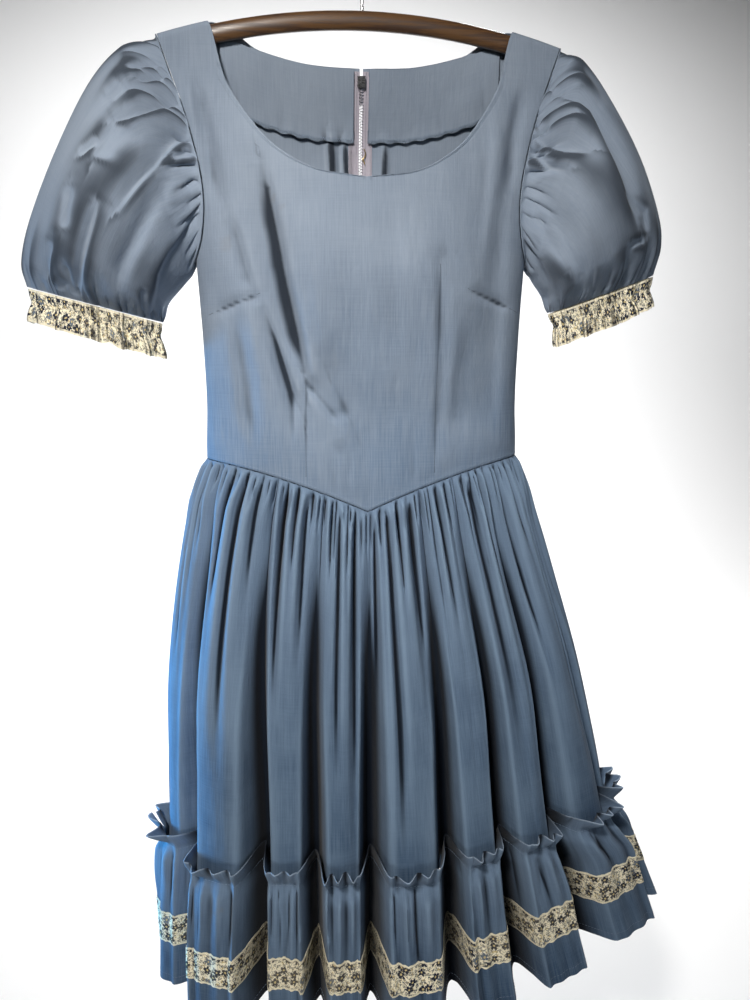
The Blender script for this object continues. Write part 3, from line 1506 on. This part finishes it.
class Finishes:
    """Every material of the dress."""

    GREY_BLUE = (0.172, 0.213, 0.274, 1)
    WORN_BLUE = (0.31, 0.36, 0.425, 1)
    BLUE = (0.116, 0.168, 0.248, 1)
    DEEP_BLUE = (0.03, 0.062, 0.118, 1)
    PALE_BLUE = (0.2, 0.285, 0.39, 1)

    def __init__(self) -> None:
        """Builds them all."""
        effects = Effects()

        blues = (self.GREY_BLUE, self.BLUE, self.WORN_BLUE)
        self.bodice = ClothFinish("bodice cotton", *blues, -260, -540).build(effects)
        blues = ((0.2, 0.247, 0.318, 1), (0.16, 0.215, 0.305, 1), self.WORN_BLUE)
        self.sleeve = ClothFinish("sleeve cotton", *blues, -260, -540, shade=0.78).build(effects)
        blues = (self.BLUE, self.DEEP_BLUE, self.PALE_BLUE)
        self.skirt = ClothFinish("skirt cotton", *blues, -560, -960, shade=0.97).build(effects)
        self.flounce = ClothFinish(
            "flounce cotton", *blues, -880, -1080, edge=(0.7, 1.6), shade=0.97
        ).build(effects)
        cotton = (0.95, 0.88, 0.68, 1)
        self.trim = PrintFinish("printed trim", cotton, 36.0).build(effects)
        self.cuff = PrintFinish("printed cuff", cotton, 33.0).build(effects)
        self.tape = ClothFinish(
            "zip tape",
            (0.34, 0.31, 0.37, 1),
            (0.34, 0.31, 0.37, 1),
            (0.52, 0.5, 0.54, 1),
            -100,
            -600,
            threads=1300.0,
        ).build(effects)
        self.steel = HardFinish(
            "steel", (0.5, 0.5, 0.5, 1), (0.32, 0.32, 0.33, 1), 0.24, 1.0, 0.0, (300, 300, 900), 0.02
        ).build()
        self.brass = HardFinish(
            "brass", (0.66, 0.48, 0.2, 1), (0.42, 0.3, 0.13, 1), 0.28, 1.0, 0.0, (500, 500, 500), 0.02
        ).build()
        self.wood = HardFinish(
            "varnished wood",
            (0.105, 0.052, 0.02, 1),
            (0.045, 0.02, 0.009, 1),
            0.3,
            0.0,
            0.6,
            (16, 260, 260),
            0.12,
        ).build()
        self.blue_thread = ThreadFinish("blue thread", (0.2, 0.27, 0.37, 1)).build()
        self.seam_thread = ThreadFinish("seam thread", (0.045, 0.065, 0.1, 1)).build()
        self.pale_thread = ThreadFinish("cream thread", (0.62, 0.57, 0.43, 1)).build()
        self.grey_thread = ThreadFinish("grey thread", (0.42, 0.4, 0.45, 1)).build()


# Geometry Nodes


class PathNodes:
    """A node tree that lays a small piece along each edge of a set of short lines."""

    def __init__(self, name: str, sides: int) -> None:
        """Builds the tree.

        Args:
            name: the tree's name.
            sides: how many flats each small piece has.
        """
        inputs = {"Geometry": "Geometry", "Material": "Material"}
        inputs |= {title: "Float" for title in ("Width", "Height", "Filled")}
        outputs = {"Geometry": "Geometry"}
        self.tree, graph, entry, leave = make_group(name, inputs, outputs, "GeometryNodeTree")
        given = entry.outputs
        ends = self.tree.nodes.new("GeometryNodeInputMeshEdgeVertices").outputs
        keep = self.tree.nodes.new("GeometryNodeCaptureAttribute")
        keep.domain = "EDGE"
        keep.capture_items.new("VECTOR", "Run")
        graph.feed(keep.inputs["Geometry"], given["Geometry"])
        run = graph.vector("SUBTRACT", ends["Position 2"], ends["Position 1"])
        graph.feed(keep.inputs["Run"], run)
        run = keep.outputs["Run"]
        dots = graph.add("GeometryNodeMeshToPoints", keep.outputs["Geometry"], mode="EDGES")
        length = graph.vector("LENGTH", run, out="Value")
        filled = graph.math("MULTIPLY", length, given["Filled"])
        size = graph.add("CombineXYZ", given["Width"], given["Height"], filled)
        turn = graph.add("FunctionNodeAlignRotationToVector", Vector=run, axis="Z")
        piece = graph.add(
            "GeometryNodeMeshCylinder", Vertices=sides, Radius=0.5, Depth=1.0, fill_type="NGON"
        )
        laid = graph.add(
            "GeometryNodeInstanceOnPoints", Points=dots, Instance=piece, Rotation=turn, Scale=size
        )
        real = graph.add("GeometryNodeRealizeInstances", laid)
        dressed = graph.add("GeometryNodeSetMaterial", Geometry=real, Material=given["Material"])
        graph.feed(leave.inputs[0], dressed)

    def lay(
        self,
        name: str,
        lines: Sequence[Points],
        size: Triple,
        material: bpy.types.Material,
    ) -> bpy.types.Object:
        """Lays pieces along lines.

        Args:
            name: the new object's name.
            lines: for each piece of line, its two ends in millimetres, as (count, 2, 3).
            size: the pieces' width, height (both in millimetres) and share of their line.
            material: the pieces' material.

        Returns:
            The pieces as one plain mesh object.
        """
        ends = np.concatenate(list(lines)) * MM
        mesh = bpy.data.meshes.new(name + "_lines")
        pairs = np.arange(2 * len(ends)).reshape(-1, 2).tolist()
        mesh.from_pydata(ends.reshape(-1, 3).tolist(), pairs, [])
        source = placed(name + "_lines", mesh)
        modifier = source.modifiers.new("lay", "NODES")
        modifier.node_group = self.tree
        values = {"Width": size[0] * MM, "Height": size[1] * MM, "Filled": size[2]}
        for item in self.tree.interface.items_tree:
            if item.in_out == "INPUT" and item.name in values:
                modifier[item.identifier] = values[item.name]
            elif item.in_out == "INPUT" and item.name == "Material":
                modifier[item.identifier] = material
        graph = bpy.context.evaluated_depsgraph_get()
        made = bpy.data.meshes.new_from_object(source.evaluated_get(graph))
        source.modifiers.remove(modifier)
        bpy.data.objects.remove(source)
        made.name = name
        return placed(name, made)


def stitches(path: Points, pitch: float, length: float) -> Points:
    """Cuts a line into stitches.

    Args:
        path: the line's points in millimetres.
        pitch: the distance from one stitch to the next.
        length: how long each stitch is.

    Returns:
        The two ends of each stitch, as (count, 2, 3).
    """
    gone = np.concatenate([[0], np.cumsum(np.linalg.norm(np.diff(path, axis=0), axis=1))])
    starts = np.arange(0, gone[-1] - length, pitch)
    ends = np.stack([starts, starts + length], 1)
    return np.stack([np.interp(ends, gone, path[:, k]) for k in range(3)], -1)


def zigzag(first: Points, second: Points, pitch: float) -> Points:
    """Returns stitches that cross between two lines of matching points."""
    gone = np.concatenate([[0], np.cumsum(np.linalg.norm(np.diff(first, axis=0), axis=1))])
    at = np.arange(0, gone[-1], pitch)
    upper = np.stack([np.interp(at, gone, first[:, k]) for k in range(3)], -1)
    lower = np.stack([np.interp(at, gone, second[:, k]) for k in range(3)], -1)
    return np.stack([upper[:-1], lower[1:]], 1)


# Pieces


@dataclass(frozen=True)
class ClothSizes:
    """Thicknesses of the cloths in millimetres."""

    cotton: float = 0.9
    thin: float = 0.6
    gap: float = 0.35


class Dresser:
    """Finishes a piece and tells the frame about it."""

    def __init__(self, finishes: Finishes) -> None:
        """Keeps the finishes."""
        self.finishes = finishes
        self.stitch_nodes = PathNodes("stitches", 5)

    def dress(
        self,
        item: bpy.types.Object,
        material: bpy.types.Material,
        slot: Slot,
        replaces: Sequence[str] = (),
        body: Body = Body.DRESS,
    ) -> bpy.types.Object:
        """Gives a piece its material, slot, body and the CAD nodes that it stands for.

        Args:
            item: the piece.
            material: its material.
            slot: the record's slot.
            replaces: names of CAD nodes.
            body: the body that carries it.

        Returns:
            The piece.
        """
        item.data.materials.clear()
        item.data.materials.append(material)
        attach(item, body.value)
        if replaces:
            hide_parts(*replaces)
        LOG.info("%s: %d faces", item.name, len(item.data.polygons))
        return item

    def cloth(
        self,
        sheet: Sheet,
        node: str,
        thick: float,
        material: bpy.types.Material,
        slot: Slot = Slot.CLOTH,
        smooth: float = 55.0,
    ) -> bpy.types.Object:
        """Makes a sheet the finished piece that stands for a CAD node."""
        item = sheet.mesh(node + "_cloth", thick, smooth)
        return self.dress(item, material, slot, [node])

    def sew(
        self,
        name: str,
        lines: Sequence[Points],
        material: bpy.types.Material,
        size: Triple = (0.42, 0.3, 1.0),
    ) -> bpy.types.Object:
        """Sews stitches along lines and returns them as one piece."""
        item = self.stitch_nodes.lay(name, lines, size, material)
        return self.dress(item, material, Slot.CLOTH)


@dataclass
class Bodice:
    """The bodice: one front, two backs, and the facing inside the back of the neck."""

    form: BodiceForm
    dresser: Dresser
    sizes: ClothSizes
    columns: int = 112
    rows: int = 160
    facing_depth: float = 62.0
    facing_in: float = 4.0
    facing_reach: float = 0.88
    facing_to_zip: float = 7.5
    hem_stitch: float = 5.5

    def _half(self, panel: Panel, side: Side, columns: int, rows: int) -> Points:
        """Returns a half panel's points."""
        neck_at = self.form.NECK_AT[panel]
        up = np.concatenate(
            [
                np.linspace(1, 0.9, rows // 8, endpoint=False),
                np.linspace(0.9, neck_at, rows // 3, endpoint=False),
                np.linspace(neck_at, 0.012, rows - rows // 8 - rows // 3 - 5, endpoint=False),
                [0.012, 0.008, 0.005, 0.002, 0],
            ]
        )[:, None]
        across = 1 - (1 - np.linspace(0, 1, columns + 1)) ** 1.12
        x, z, to_neck = self.form.place(across[None, :], up, panel)
        x = x * side.way
        rolled = 0.55 * bump(1.6, 1.5, to_neck) - 0.25 * bump(self.hem_stitch, 0.8, to_neck)
        above = z - self.form.waist(x, panel)
        rolled = rolled + 0.5 * bump(2.6, 2, above) - 0.4 * (1 - ease(0, 1.2, above))
        points = self.form.surface(x, z, panel, rolled)
        points[..., 2] += 0.35 * (1 - ease(0, 0.01, up))
        return points

    def build_front(self) -> bpy.types.Object:
        """Builds the front."""
        sheet = Sheet()
        for side in Side:
            points = self._half(Panel.FRONT, side, self.columns, self.rows)
            sheet.add(points, side is Side.RIGHT, hung_places(points))
        blue = self.dresser.finishes.bodice
        item = self.dresser.cloth(sheet, "bodice_front", self.sizes.cotton, blue)
        return item

    def build_back(self, side: Side) -> bpy.types.Object:
        """Builds one back."""
        points = self._half(Panel.BACK, side, self.columns * 2 // 3, self.rows * 2 // 3)
        sheet = Sheet().add(points, side is Side.LEFT, hung_places(points))
        node, blue = f"bodice_back_{side.value}", self.dresser.finishes.bodice
        item = self.dresser.cloth(sheet, node, self.sizes.cotton, blue)
        return item

    def facing_points(self, side: Side, down: Points, at: Points, more: float = 0.0) -> Points:
        """Returns points of the facing, down from the neck edge and out from the zip."""
        scoop = self.form.SCOOP[Panel.BACK]
        x = np.maximum(self.facing_to_zip, scoop.read("x", at * self.facing_reach))
        wave = 0.8 * np.sin(x / 2.6) * ease(0.9, 1, down)
        z = scoop.read("z", at * self.facing_reach) - 2 - down * self.facing_depth + wave
        curl = 1.6 * self.form.LARGE.at(x / 22, down * 1.5 + 5) * ease(0.15, 1, down)
        x, z = np.broadcast_arrays(x * side.way, z)
        return self.form.surface(x, z, Panel.BACK, -self.facing_in - np.abs(curl) - more)

    def build_facing(self, side: Side) -> bpy.types.Object:
        """Builds one half of the facing, with its overlocked lower edge."""
        down, at = np.linspace(0, 1, 40)[:, None], np.linspace(0, 1, 60)[None, :]
        points = self.facing_points(side, down, at)
        sheet = Sheet().add(points, side is Side.LEFT)
        node, blue = f"back_neck_facing_{side.value}", self.dresser.finishes.bodice
        item = self.dresser.cloth(sheet, node, self.sizes.thin, blue)
        return item

    def edge_line(self, panel: Panel, side: Side, inwards: float) -> Points:
        """Returns the line of the neck hem's stitches."""
        neck_at = self.form.NECK_AT[panel]
        up = np.linspace(neck_at + 0.004, 0.985, 160)
        across = 1 - inwards / 120
        x, z, _ = self.form.place(across, up, panel)
        return self.form.surface(x * side.way, z, panel, 0.1)

    def sew(self) -> None:
        """Sews the neck hem, the waist seam, the darts, the side seams and the facing."""
        form, finishes = self.form, self.dresser.finishes
        lines, seams = [], []
        for panel in Panel:
            for side in Side:
                lines.append(stitches(self.edge_line(panel, side, self.hem_stitch), 3.2, 2.3))
            for start, end in form.DART_SEAMS[panel]:
                share = np.linspace(0.02, 0.99, 90)
                x, z = mix(start[0], end[0], share), mix(start[1], end[1], share)
                seams.append(stitches(form.surface(x, z, panel, -0.02), 1.5, 1.5))
            x = np.linspace(-158, 158, 300)
            z = form.waist(x, panel) + 3.4
            lines.append(stitches(form.surface(x, z, panel, 0.5), 3.4, 2.2))
        self.dresser.sew("bodice_stitching", lines, finishes.blue_thread)
        self.dresser.sew("dart_seams", seams, finishes.seam_thread, (0.5, 0.5, 1.02))
        loops = []
        for side in Side:
            at = np.linspace(0, 1, 200)
            low = self.facing_points(side, np.full(200, 0.995), at, 0.8)
            high = self.facing_points(side, np.full(200, 0.945), at, 0.8)
            loops += [zigzag(low, high, 2.4), zigzag(high, low, 2.4)]
            down = np.linspace(0.03, 0.97, 60)
            near_zip = self.facing_points(side, down, np.full(60, 0.022), 0.75)
            loops.append(stitches(near_zip, 3.0, 2.1))
        self.dresser.sew("facing_overlock", loops, finishes.blue_thread)


@dataclass
class Sleeve:
    """A puffed sleeve and its printed band."""

    form: SleeveForm
    dresser: Dresser
    sizes: ClothSizes
    rows: int = 100
    columns: int = 288
    band_rows: int = 20
    band_columns: int = 360

    @property
    def side(self) -> Side:
        """The side that it is on."""
        return self.form.side

    def _turns(self, columns: int) -> Points:
        """Returns angles once round, from the underarm seam."""
        return math.pi + np.linspace(0, 2 * math.pi, columns + 1)

    def build_sleeve(self) -> bpy.types.Object:
        """Builds the puff."""
        at = np.linspace(0, 1, self.rows) ** 1.2
        turns = self._turns(self.columns)
        points = self.form.point(at[:, None], turns[None, :])
        points[:, -1] = points[:, 0]
        flat = flat_places(points, widest=self.rows // 2)
        sheet = Sheet().add(points, self.side is Side.LEFT, flat)
        node, blue = f"sleeve_{self.side.value}", self.dresser.finishes.sleeve
        item = self.dresser.cloth(sheet, node, self.sizes.cotton, blue)
        carrier = ["bodice_front", f"bodice_back_{self.side.value}"]
        return item

    def build_band(self) -> bpy.types.Object:
        """Builds the printed band."""
        down = np.linspace(0.0, 1, self.band_rows)
        turns = self._turns(self.band_columns)
        points = self.form.band(0.05 + 0.95 * down[:, None], turns[None, :])
        points[:, -1] = points[:, 0]
        flat = flat_places(points) * (1.5, 1)
        sheet = Sheet().add(points, self.side is Side.LEFT, flat)
        node, print_ = f"cuff_trim_{self.side.value}", self.dresser.finishes.cuff
        item = self.dresser.cloth(sheet, node, self.sizes.thin, print_, Slot.PRINT)
        return (item, f"sleeve_{self.side.value}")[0]

    def sew(self) -> None:
        """Sews the band's elastic rows."""
        finishes = self.dresser.finishes
        turns = self._turns(500)
        lines = []
        for down in (0.12, 0.42):
            path = self.form.band(np.full_like(turns, down), turns)
            centre = path.mean(axis=0)
            lines.append(stitches(path + unit(path - centre) * 0.2, 3.0, 2.2))
        name = f"cuff_{self.side.value}_stitching"
        self.dresser.sew(name, lines, finishes.pale_thread)


@dataclass
class Skirt:
    """The gathered skirt, its flounce and the printed band on it."""

    form: SkirtForm
    dresser: Dresser
    sizes: ClothSizes
    PER_FOLD = {Panel.FRONT: 54, Panel.BACK: 38}
    ROWS = {Panel.FRONT: 62, Panel.BACK: 46}
    band_rows: int = 14

    def build_skirt(self, panel: Panel) -> bpy.types.Object:
        """Builds a skirt panel."""
        places = self.form.places(panel, self.PER_FOLD[panel])[None, :]
        down = np.linspace(0, 1, self.ROWS[panel])[:, None] ** 1.35
        waist = self.form.waist(places) - 0.35
        z = mix(waist, self.form.skirt_end, down)
        dark = self.form.dark(places, self.form.waist(places) - z)
        sheet = Sheet().add(self.form.point(places, z), dark=dark)
        node, blue = f"skirt_{panel.value}", self.dresser.finishes.skirt
        item = self.dresser.cloth(sheet, node, self.sizes.cotton, blue, smooth=80)
        return item

    def build_flounce(self, panel: Panel) -> bpy.types.Object:
        """Builds a flounce panel with its standing heading."""
        places = self.form.places(panel, self.PER_FOLD[panel])[None, :]
        form = self.form
        heading = np.linspace(form.heading_top, form.seam_height, 12, endpoint=False)
        below = mix(form.seam_height, form.hem, np.linspace(0, 1, self.ROWS[panel] - 12) ** 1.15)
        z = np.concatenate([heading, below])[:, None]
        dark = form.dark(places, form.waist(places) - z)
        sheet = Sheet().add(form.flounce(places, z), dark=dark)
        node, blue = f"flounce_{panel.value}", self.dresser.finishes.flounce
        item = self.dresser.cloth(sheet, node, self.sizes.cotton, blue, smooth=80)
        return item

    def _band_surface(self, places: Points, down: Points, out: float) -> Points:
        """Returns points above the flounce along the band, from its top edge (0) down (1)."""
        z = self.form.trim_top - down * self.form.trim_width
        base = self.form.flounce(places, z)
        grid = base if len(z) > 1 else self.form.flounce(places, np.concatenate([z, z - 1.0]))
        return base + grid_normals(grid)[: len(z)] * out

    def build_band(self, panel: Panel) -> bpy.types.Object:
        """Builds the printed band."""
        places = self.form.places(panel, self.PER_FOLD[panel])[None, :]
        down = np.linspace(0, 1, self.band_rows)[:, None]
        out = self.sizes.gap + self.sizes.thin
        points = self._band_surface(places, down, out)
        wave = 0.7 * np.sin(places * 640)
        points[0, :, 2] += wave[0]
        points[-1, :, 2] += wave[0]
        dark = self.form.dark(places, self.form.waist(places) - points[..., 2])
        sheet = Sheet().add(points, dark=dark)
        node, print_ = f"flounce_trim_{panel.value}", self.dresser.finishes.trim
        item = self.dresser.cloth(sheet, node, self.sizes.thin, print_, Slot.PRINT, 80)
        return item

    def sew(self) -> None:
        """Sews the heading, the band's edges and the hem."""
        finishes = self.dresser.finishes
        blue, pale = [], []
        for panel in Panel:
            places = self.form.places(panel, 60)[None, :]
            for down in (0.055, 0.945):
                out = self.sizes.gap + self.sizes.thin + 0.12
                line = self._band_surface(places, np.array([[down]]), out)[0]
                pale.append(stitches(line, 3.6, 2.4))
            for height in (self.form.seam_height, self.form.hem + 9):
                pair = self.form.flounce(places, np.array([[height], [height - 1.0]]))
                line = (pair + grid_normals(pair) * 0.1)[0]
                blue.append(stitches(line, 3.8, 2.5))
        self.dresser.sew("flounce_stitching", blue, finishes.blue_thread)
        self.dresser.sew("trim_stitching", pale, finishes.pale_thread)


@dataclass
class Zip:
    """The centre-back zip: tapes, coil, slider, pull tab and a small hook above it."""

    form: BodiceForm
    dresser: Dresser
    tape: tuple[float, float] = (1.4, 11.6)
    tape_in: float = 2.1
    thick: float = 1.0
    top: float = -140.0
    bottom: float = -512.0
    tooth_pitch: float = 1.35

    def build_tape(self, side: Side) -> bpy.types.Object:
        """Builds one half of the tape."""
        z = np.linspace(self.top, self.bottom, 120)[:, None]
        x = np.linspace(*self.tape, 8)[None, :]
        x, z = np.broadcast_arrays(x * side.way, z)
        points = self.form.surface(x, z, Panel.BACK, -self.tape_in)
        sheet = Sheet().add(points, side is Side.LEFT, hung_places(points))
        node, woven = f"zip_tape_{side.value}", self.dresser.finishes.tape
        item = self.dresser.cloth(sheet, node, self.thick, woven, Slot.TAPE)
        return item

    def build_coil(self) -> None:
        """Builds the closed coil as crossing teeth, and the tape's own stitches."""
        z = np.arange(self.top - 14, self.bottom + 4, -self.tooth_pitch)
        zero = np.zeros_like(z)
        centre = self.form.surface(zero, z, Panel.BACK, -self.tape_in - 0.9)
        ways = np.where(np.arange(len(z)) % 2 == 0, 1.0, -1.0)[:, None]
        reach = np.array([[2.2, 0, 0.35]])
        ends = np.stack([centre - ways * reach * 0.35, centre + ways * reach], 1)
        finishes = self.dresser.finishes
        item = self.dresser.stitch_nodes.lay("zip_coil", [ends], (1.0, 1.2, 1.0), finishes.tape)
        self.dresser.dress(item, finishes.grey_thread, Slot.TAPE)
        z = np.linspace(self.top, self.bottom, 200)
        lines = []
        for x in (-9.8, -4.6, 4.6, 9.8):
            path = self.form.surface(np.full_like(z, x), z, Panel.BACK, -self.tape_in - 1.1)
            lines.append(stitches(path, 2.6, 1.8))
        item = self.dresser.stitch_nodes.lay("zip_stitching", lines, (0.4, 0.3, 1.0), finishes.grey_thread)
        self.dresser.dress(item, finishes.grey_thread, Slot.TAPE)

    def _softened(self, node: str) -> bpy.types.Object:
        """Returns a copy of a CAD node with rounded edges."""
        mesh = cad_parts[node].data.copy()
        item = placed(node + "_rounded", mesh)
        weld = item.modifiers.new("weld", "WELD")
        weld.merge_threshold = 0.00001
        edges = item.modifiers.new("edges", "BEVEL")
        edges.width, edges.segments, edges.limit_method = 0.00022, 3, "ANGLE"
        edges.angle_limit = math.radians(40)
        graph = bpy.context.evaluated_depsgraph_get()
        made = bpy.data.meshes.new_from_object(item.evaluated_get(graph))
        item.modifiers.clear()
        item.data = made
        made.shade_smooth()
        made.set_sharp_from_angle(angle=math.radians(40))
        return item

    def build_metal(self) -> None:
        """Builds the slider, the pull tab and the small hook."""
        finishes = self.dresser.finishes
        slider = self._softened("zip_slider")
        self.dresser.dress(slider, finishes.steel, Slot.STEEL, ["zip_slider"])
        tab = self._softened("zip_pull_tab")
        self.dresser.dress(tab, finishes.steel, Slot.STEEL, ["zip_pull_tab"], Body.TAB)
        turns = np.linspace(0, 1, 60)
        x = 3.4 + 1.6 * np.sin(turns * 2.4 * math.pi) * (1 - 0.4 * turns)
        z = -207 - 13 * turns + 1.5 * np.cos(turns * 2.4 * math.pi)
        path = self.form.surface(x, z, Panel.BACK, -self.tape_in - 2.1)
        hook = tube("neck_hook", path, 0.55, 8)
        self.dresser.dress(hook, finishes.brass, Slot.STEEL)


@dataclass
class Hanger:
    """The coat hanger: a rounded wooden bar and a steel hook."""

    form: BodiceForm
    dresser: Dresser
    reach: float = 176.0
    depth: float = 9.0
    height: float = 17.0
    below_cloth: float = 3.2
    wire: float = 1.6
    inside: float = 21.0

    def build_bar(self) -> bpy.types.Object:
        """Builds the bar."""
        share = np.linspace(-1, 1, 97)[:, None]
        bend = math.pi / 2.2
        x = self.reach * np.sin(share * bend) / math.sin(bend)
        end = np.sqrt(np.maximum(0.0004, 1 - np.abs(share) ** 12))
        turn = np.linspace(0, 2 * math.pi, 33)[None, :]
        sine = np.sin(turn)
        across = np.sign(sine) * np.abs(sine) ** 0.8
        middle = self.form.shoulder(x) - self.below_cloth - self.height / 2
        y = -across * end * self.depth / 2
        z = middle + np.cos(turn) * end * self.height / 2
        rings = np.stack(np.broadcast_arrays(x, y, z), -1)[:, :-1]
        item = ringed("hanger_bar_wood", rings, 80)
        return self.dresser.dress(item, self.dresser.finishes.wood, Slot.WOOD, ["hanger_bar"])

    def build_hook(self) -> bpy.types.Object:
        """Builds the hook's wire."""
        radius = self.inside + self.wire
        neck = -self.inside * 2 - 12
        turn = np.radians(np.linspace(205, -25, 60))
        arc = np.stack([np.cos(turn) * radius, 0 * turn, np.sin(turn) * radius - self.inside], -1)
        foot = np.array([[0, 0, self.form.shoulder_top - 2.8]])
        stem = mix(foot, np.array([[0, 0, neck]]), np.linspace(0, 1, 12)[:, None])
        share = np.linspace(0, 1, 14)[1:-1, None]
        start, end = stem[-1], arc[0]
        pull = mix(start + np.array([0, 0, 9.0]) * share, end - np.array([-4.0, 0, 8.0]) * (1 - share), share)
        path = np.concatenate([stem, pull, arc])
        item = tube("hanger_hook_wire", path, self.wire, 14)
        return self.dresser.dress(item, self.dresser.finishes.steel, Slot.STEEL, ["hanger_hook"])


# Studio


@dataclass(frozen=True)
class Lamp:
    """A soft rectangular lamp aimed at a point, in metres, watts and degrees of spread."""

    name: str
    place: Triple
    aim: Triple
    size: tuple[float, float]
    watts: float
    spread: float = 140.0
    colour: Triple = (1.0, 1.0, 1.0)

    def build(self) -> bpy.types.Object:
        """Builds the lamp and returns it."""
        data = bpy.data.lights.new(self.name, "AREA")
        data.shape, data.size, data.size_y = "RECTANGLE", *self.size
        data.energy, data.color = self.watts, self.colour
        data.spread = math.radians(self.spread)
        item = placed(self.name, data)
        way = Vector(self.aim) - Vector(self.place)
        item.location = self.place
        item.rotation_euler = way.to_track_quat("-Z", "Y").to_euler()
        return item


@dataclass
class Studio:
    """A pale floor that sweeps up into a backdrop, soft lamps and the camera."""

    floor: float = -1420.0
    place: Triple = (-0.0560, -0.7781, -0.4086)
    forward: Triple = (0.0856, 0.9779, -0.1908)
    lens: float = 27.0
    LAMPS = (
        Lamp("key", (-0.42, -1.1, 0.42), (0, 0, -0.5), (0.2, 0.2), 3.4, 60, (1.0, 0.96, 0.91)),
        Lamp("fill", (0.8, -1.4, 0.0), (0, 0, -0.5), (0.6, 0.6), 0.35, 60, (0.8, 0.9, 1.0)),
        Lamp("low", (-0.35, -1.2, -0.85), (-0.1, 0, -1.0), (0.3, 0.3), 0.45, 60, (1.0, 0.96, 0.9)),
        Lamp("window", (-1.2, 0.25, -0.85), (-0.2, 0, -0.8), (0.3, 0.5), 3.0, 50, (0.05, 0.5, 1.0)),
        Lamp("backdrop", (0.0, 1.0, 1.2), (0, 2.6, -1.2), (2.4, 0.8), 90.0),
        Lamp("rear", (0.8, 1.7, 0.6), (0, 0, -0.5), (0.6, 0.6), 3.0, 60),
    )

    def build_sweep(self) -> None:
        """Builds the floor and backdrop."""
        profile = [(-4000, self.floor), (2000, self.floor)]
        for turn in np.linspace(0, math.pi / 2, 14):
            profile.append((2000 + 1100 * math.sin(turn), self.floor + 1100 * (1 - math.cos(turn))))
        profile.append((3100, 3200))
        points = [(x, y, z) for y, z in profile for x in (-5000, 5000)]
        faces = [(2 * i, 2 * i + 1, 2 * i + 3, 2 * i + 2) for i in range(len(profile) - 1)]
        item = make_object("studio_sweep", points, faces, smooth=80)
        material, _, shader = start_material("studio paper")
        shader.inputs["Base Color"].default_value = (0.9, 0.9, 0.9, 1)
        shader.inputs["Roughness"].default_value = 0.9
        item.data.materials.append(material)

    def build_lights(self) -> None:
        """Builds the lamps and the dim surround."""
        for lamp in self.LAMPS:
            lamp.build()
        world = bpy.data.worlds.new("surround")
        world.use_nodes = True
        surround = world.node_tree.nodes["Background"]
        surround.inputs["Color"].default_value = (0.92, 0.95, 1.0, 1)
        surround.inputs["Strength"].default_value = 0.03
        bpy.context.scene.world = world

    def build_camera(self) -> None:
        """Builds the camera at the photograph's place."""
        data = bpy.data.cameras.new("camera")
        data.lens, data.sensor_width = self.lens, 36.0
        data.clip_start = 0.01
        item = placed("camera", data)
        item.location = self.place
        item.rotation_euler = Vector(self.forward).to_track_quat("-Z", "Y").to_euler()
        bpy.context.scene.camera = item

    def build(self) -> None:
        """Builds it all."""
        self.build_sweep()
        self.build_lights()
        self.build_camera()
        bpy.context.scene.view_settings.view_transform = "Standard"


def main() -> None:
    """Builds the dress, its hanger and the studio."""
    logging.basicConfig(level=logging.INFO, format="%(name)s %(message)s")
    sizes = ClothSizes()
    bodice_form = BodiceForm()
    skirt_form = SkirtForm(bodice_form)
    dresser = Dresser(Finishes())

    bodice = Bodice(bodice_form, dresser, sizes)
    bodice.build_front()
    for side in Side:
        bodice.build_back(side)
        bodice.build_facing(side)
    bodice.sew()
    for side in Side:
        sleeve = Sleeve(SleeveForm(bodice_form, side), dresser, sizes)
        sleeve.build_sleeve()
        sleeve.build_band()
        sleeve.sew()
    skirt = Skirt(skirt_form, dresser, sizes)
    for panel in Panel:
        skirt.build_skirt(panel)
        skirt.build_flounce(panel)
        skirt.build_band(panel)
    skirt.sew()
    zip_ = Zip(bodice_form, dresser)
    for side in Side:
        zip_.build_tape(side)
    zip_.build_coil()
    zip_.build_metal()
    hanger = Hanger(bodice_form, dresser)
    hanger.build_bar()
    hanger.build_hook()
    Studio().build()


if __name__ == "__main__":
    main()
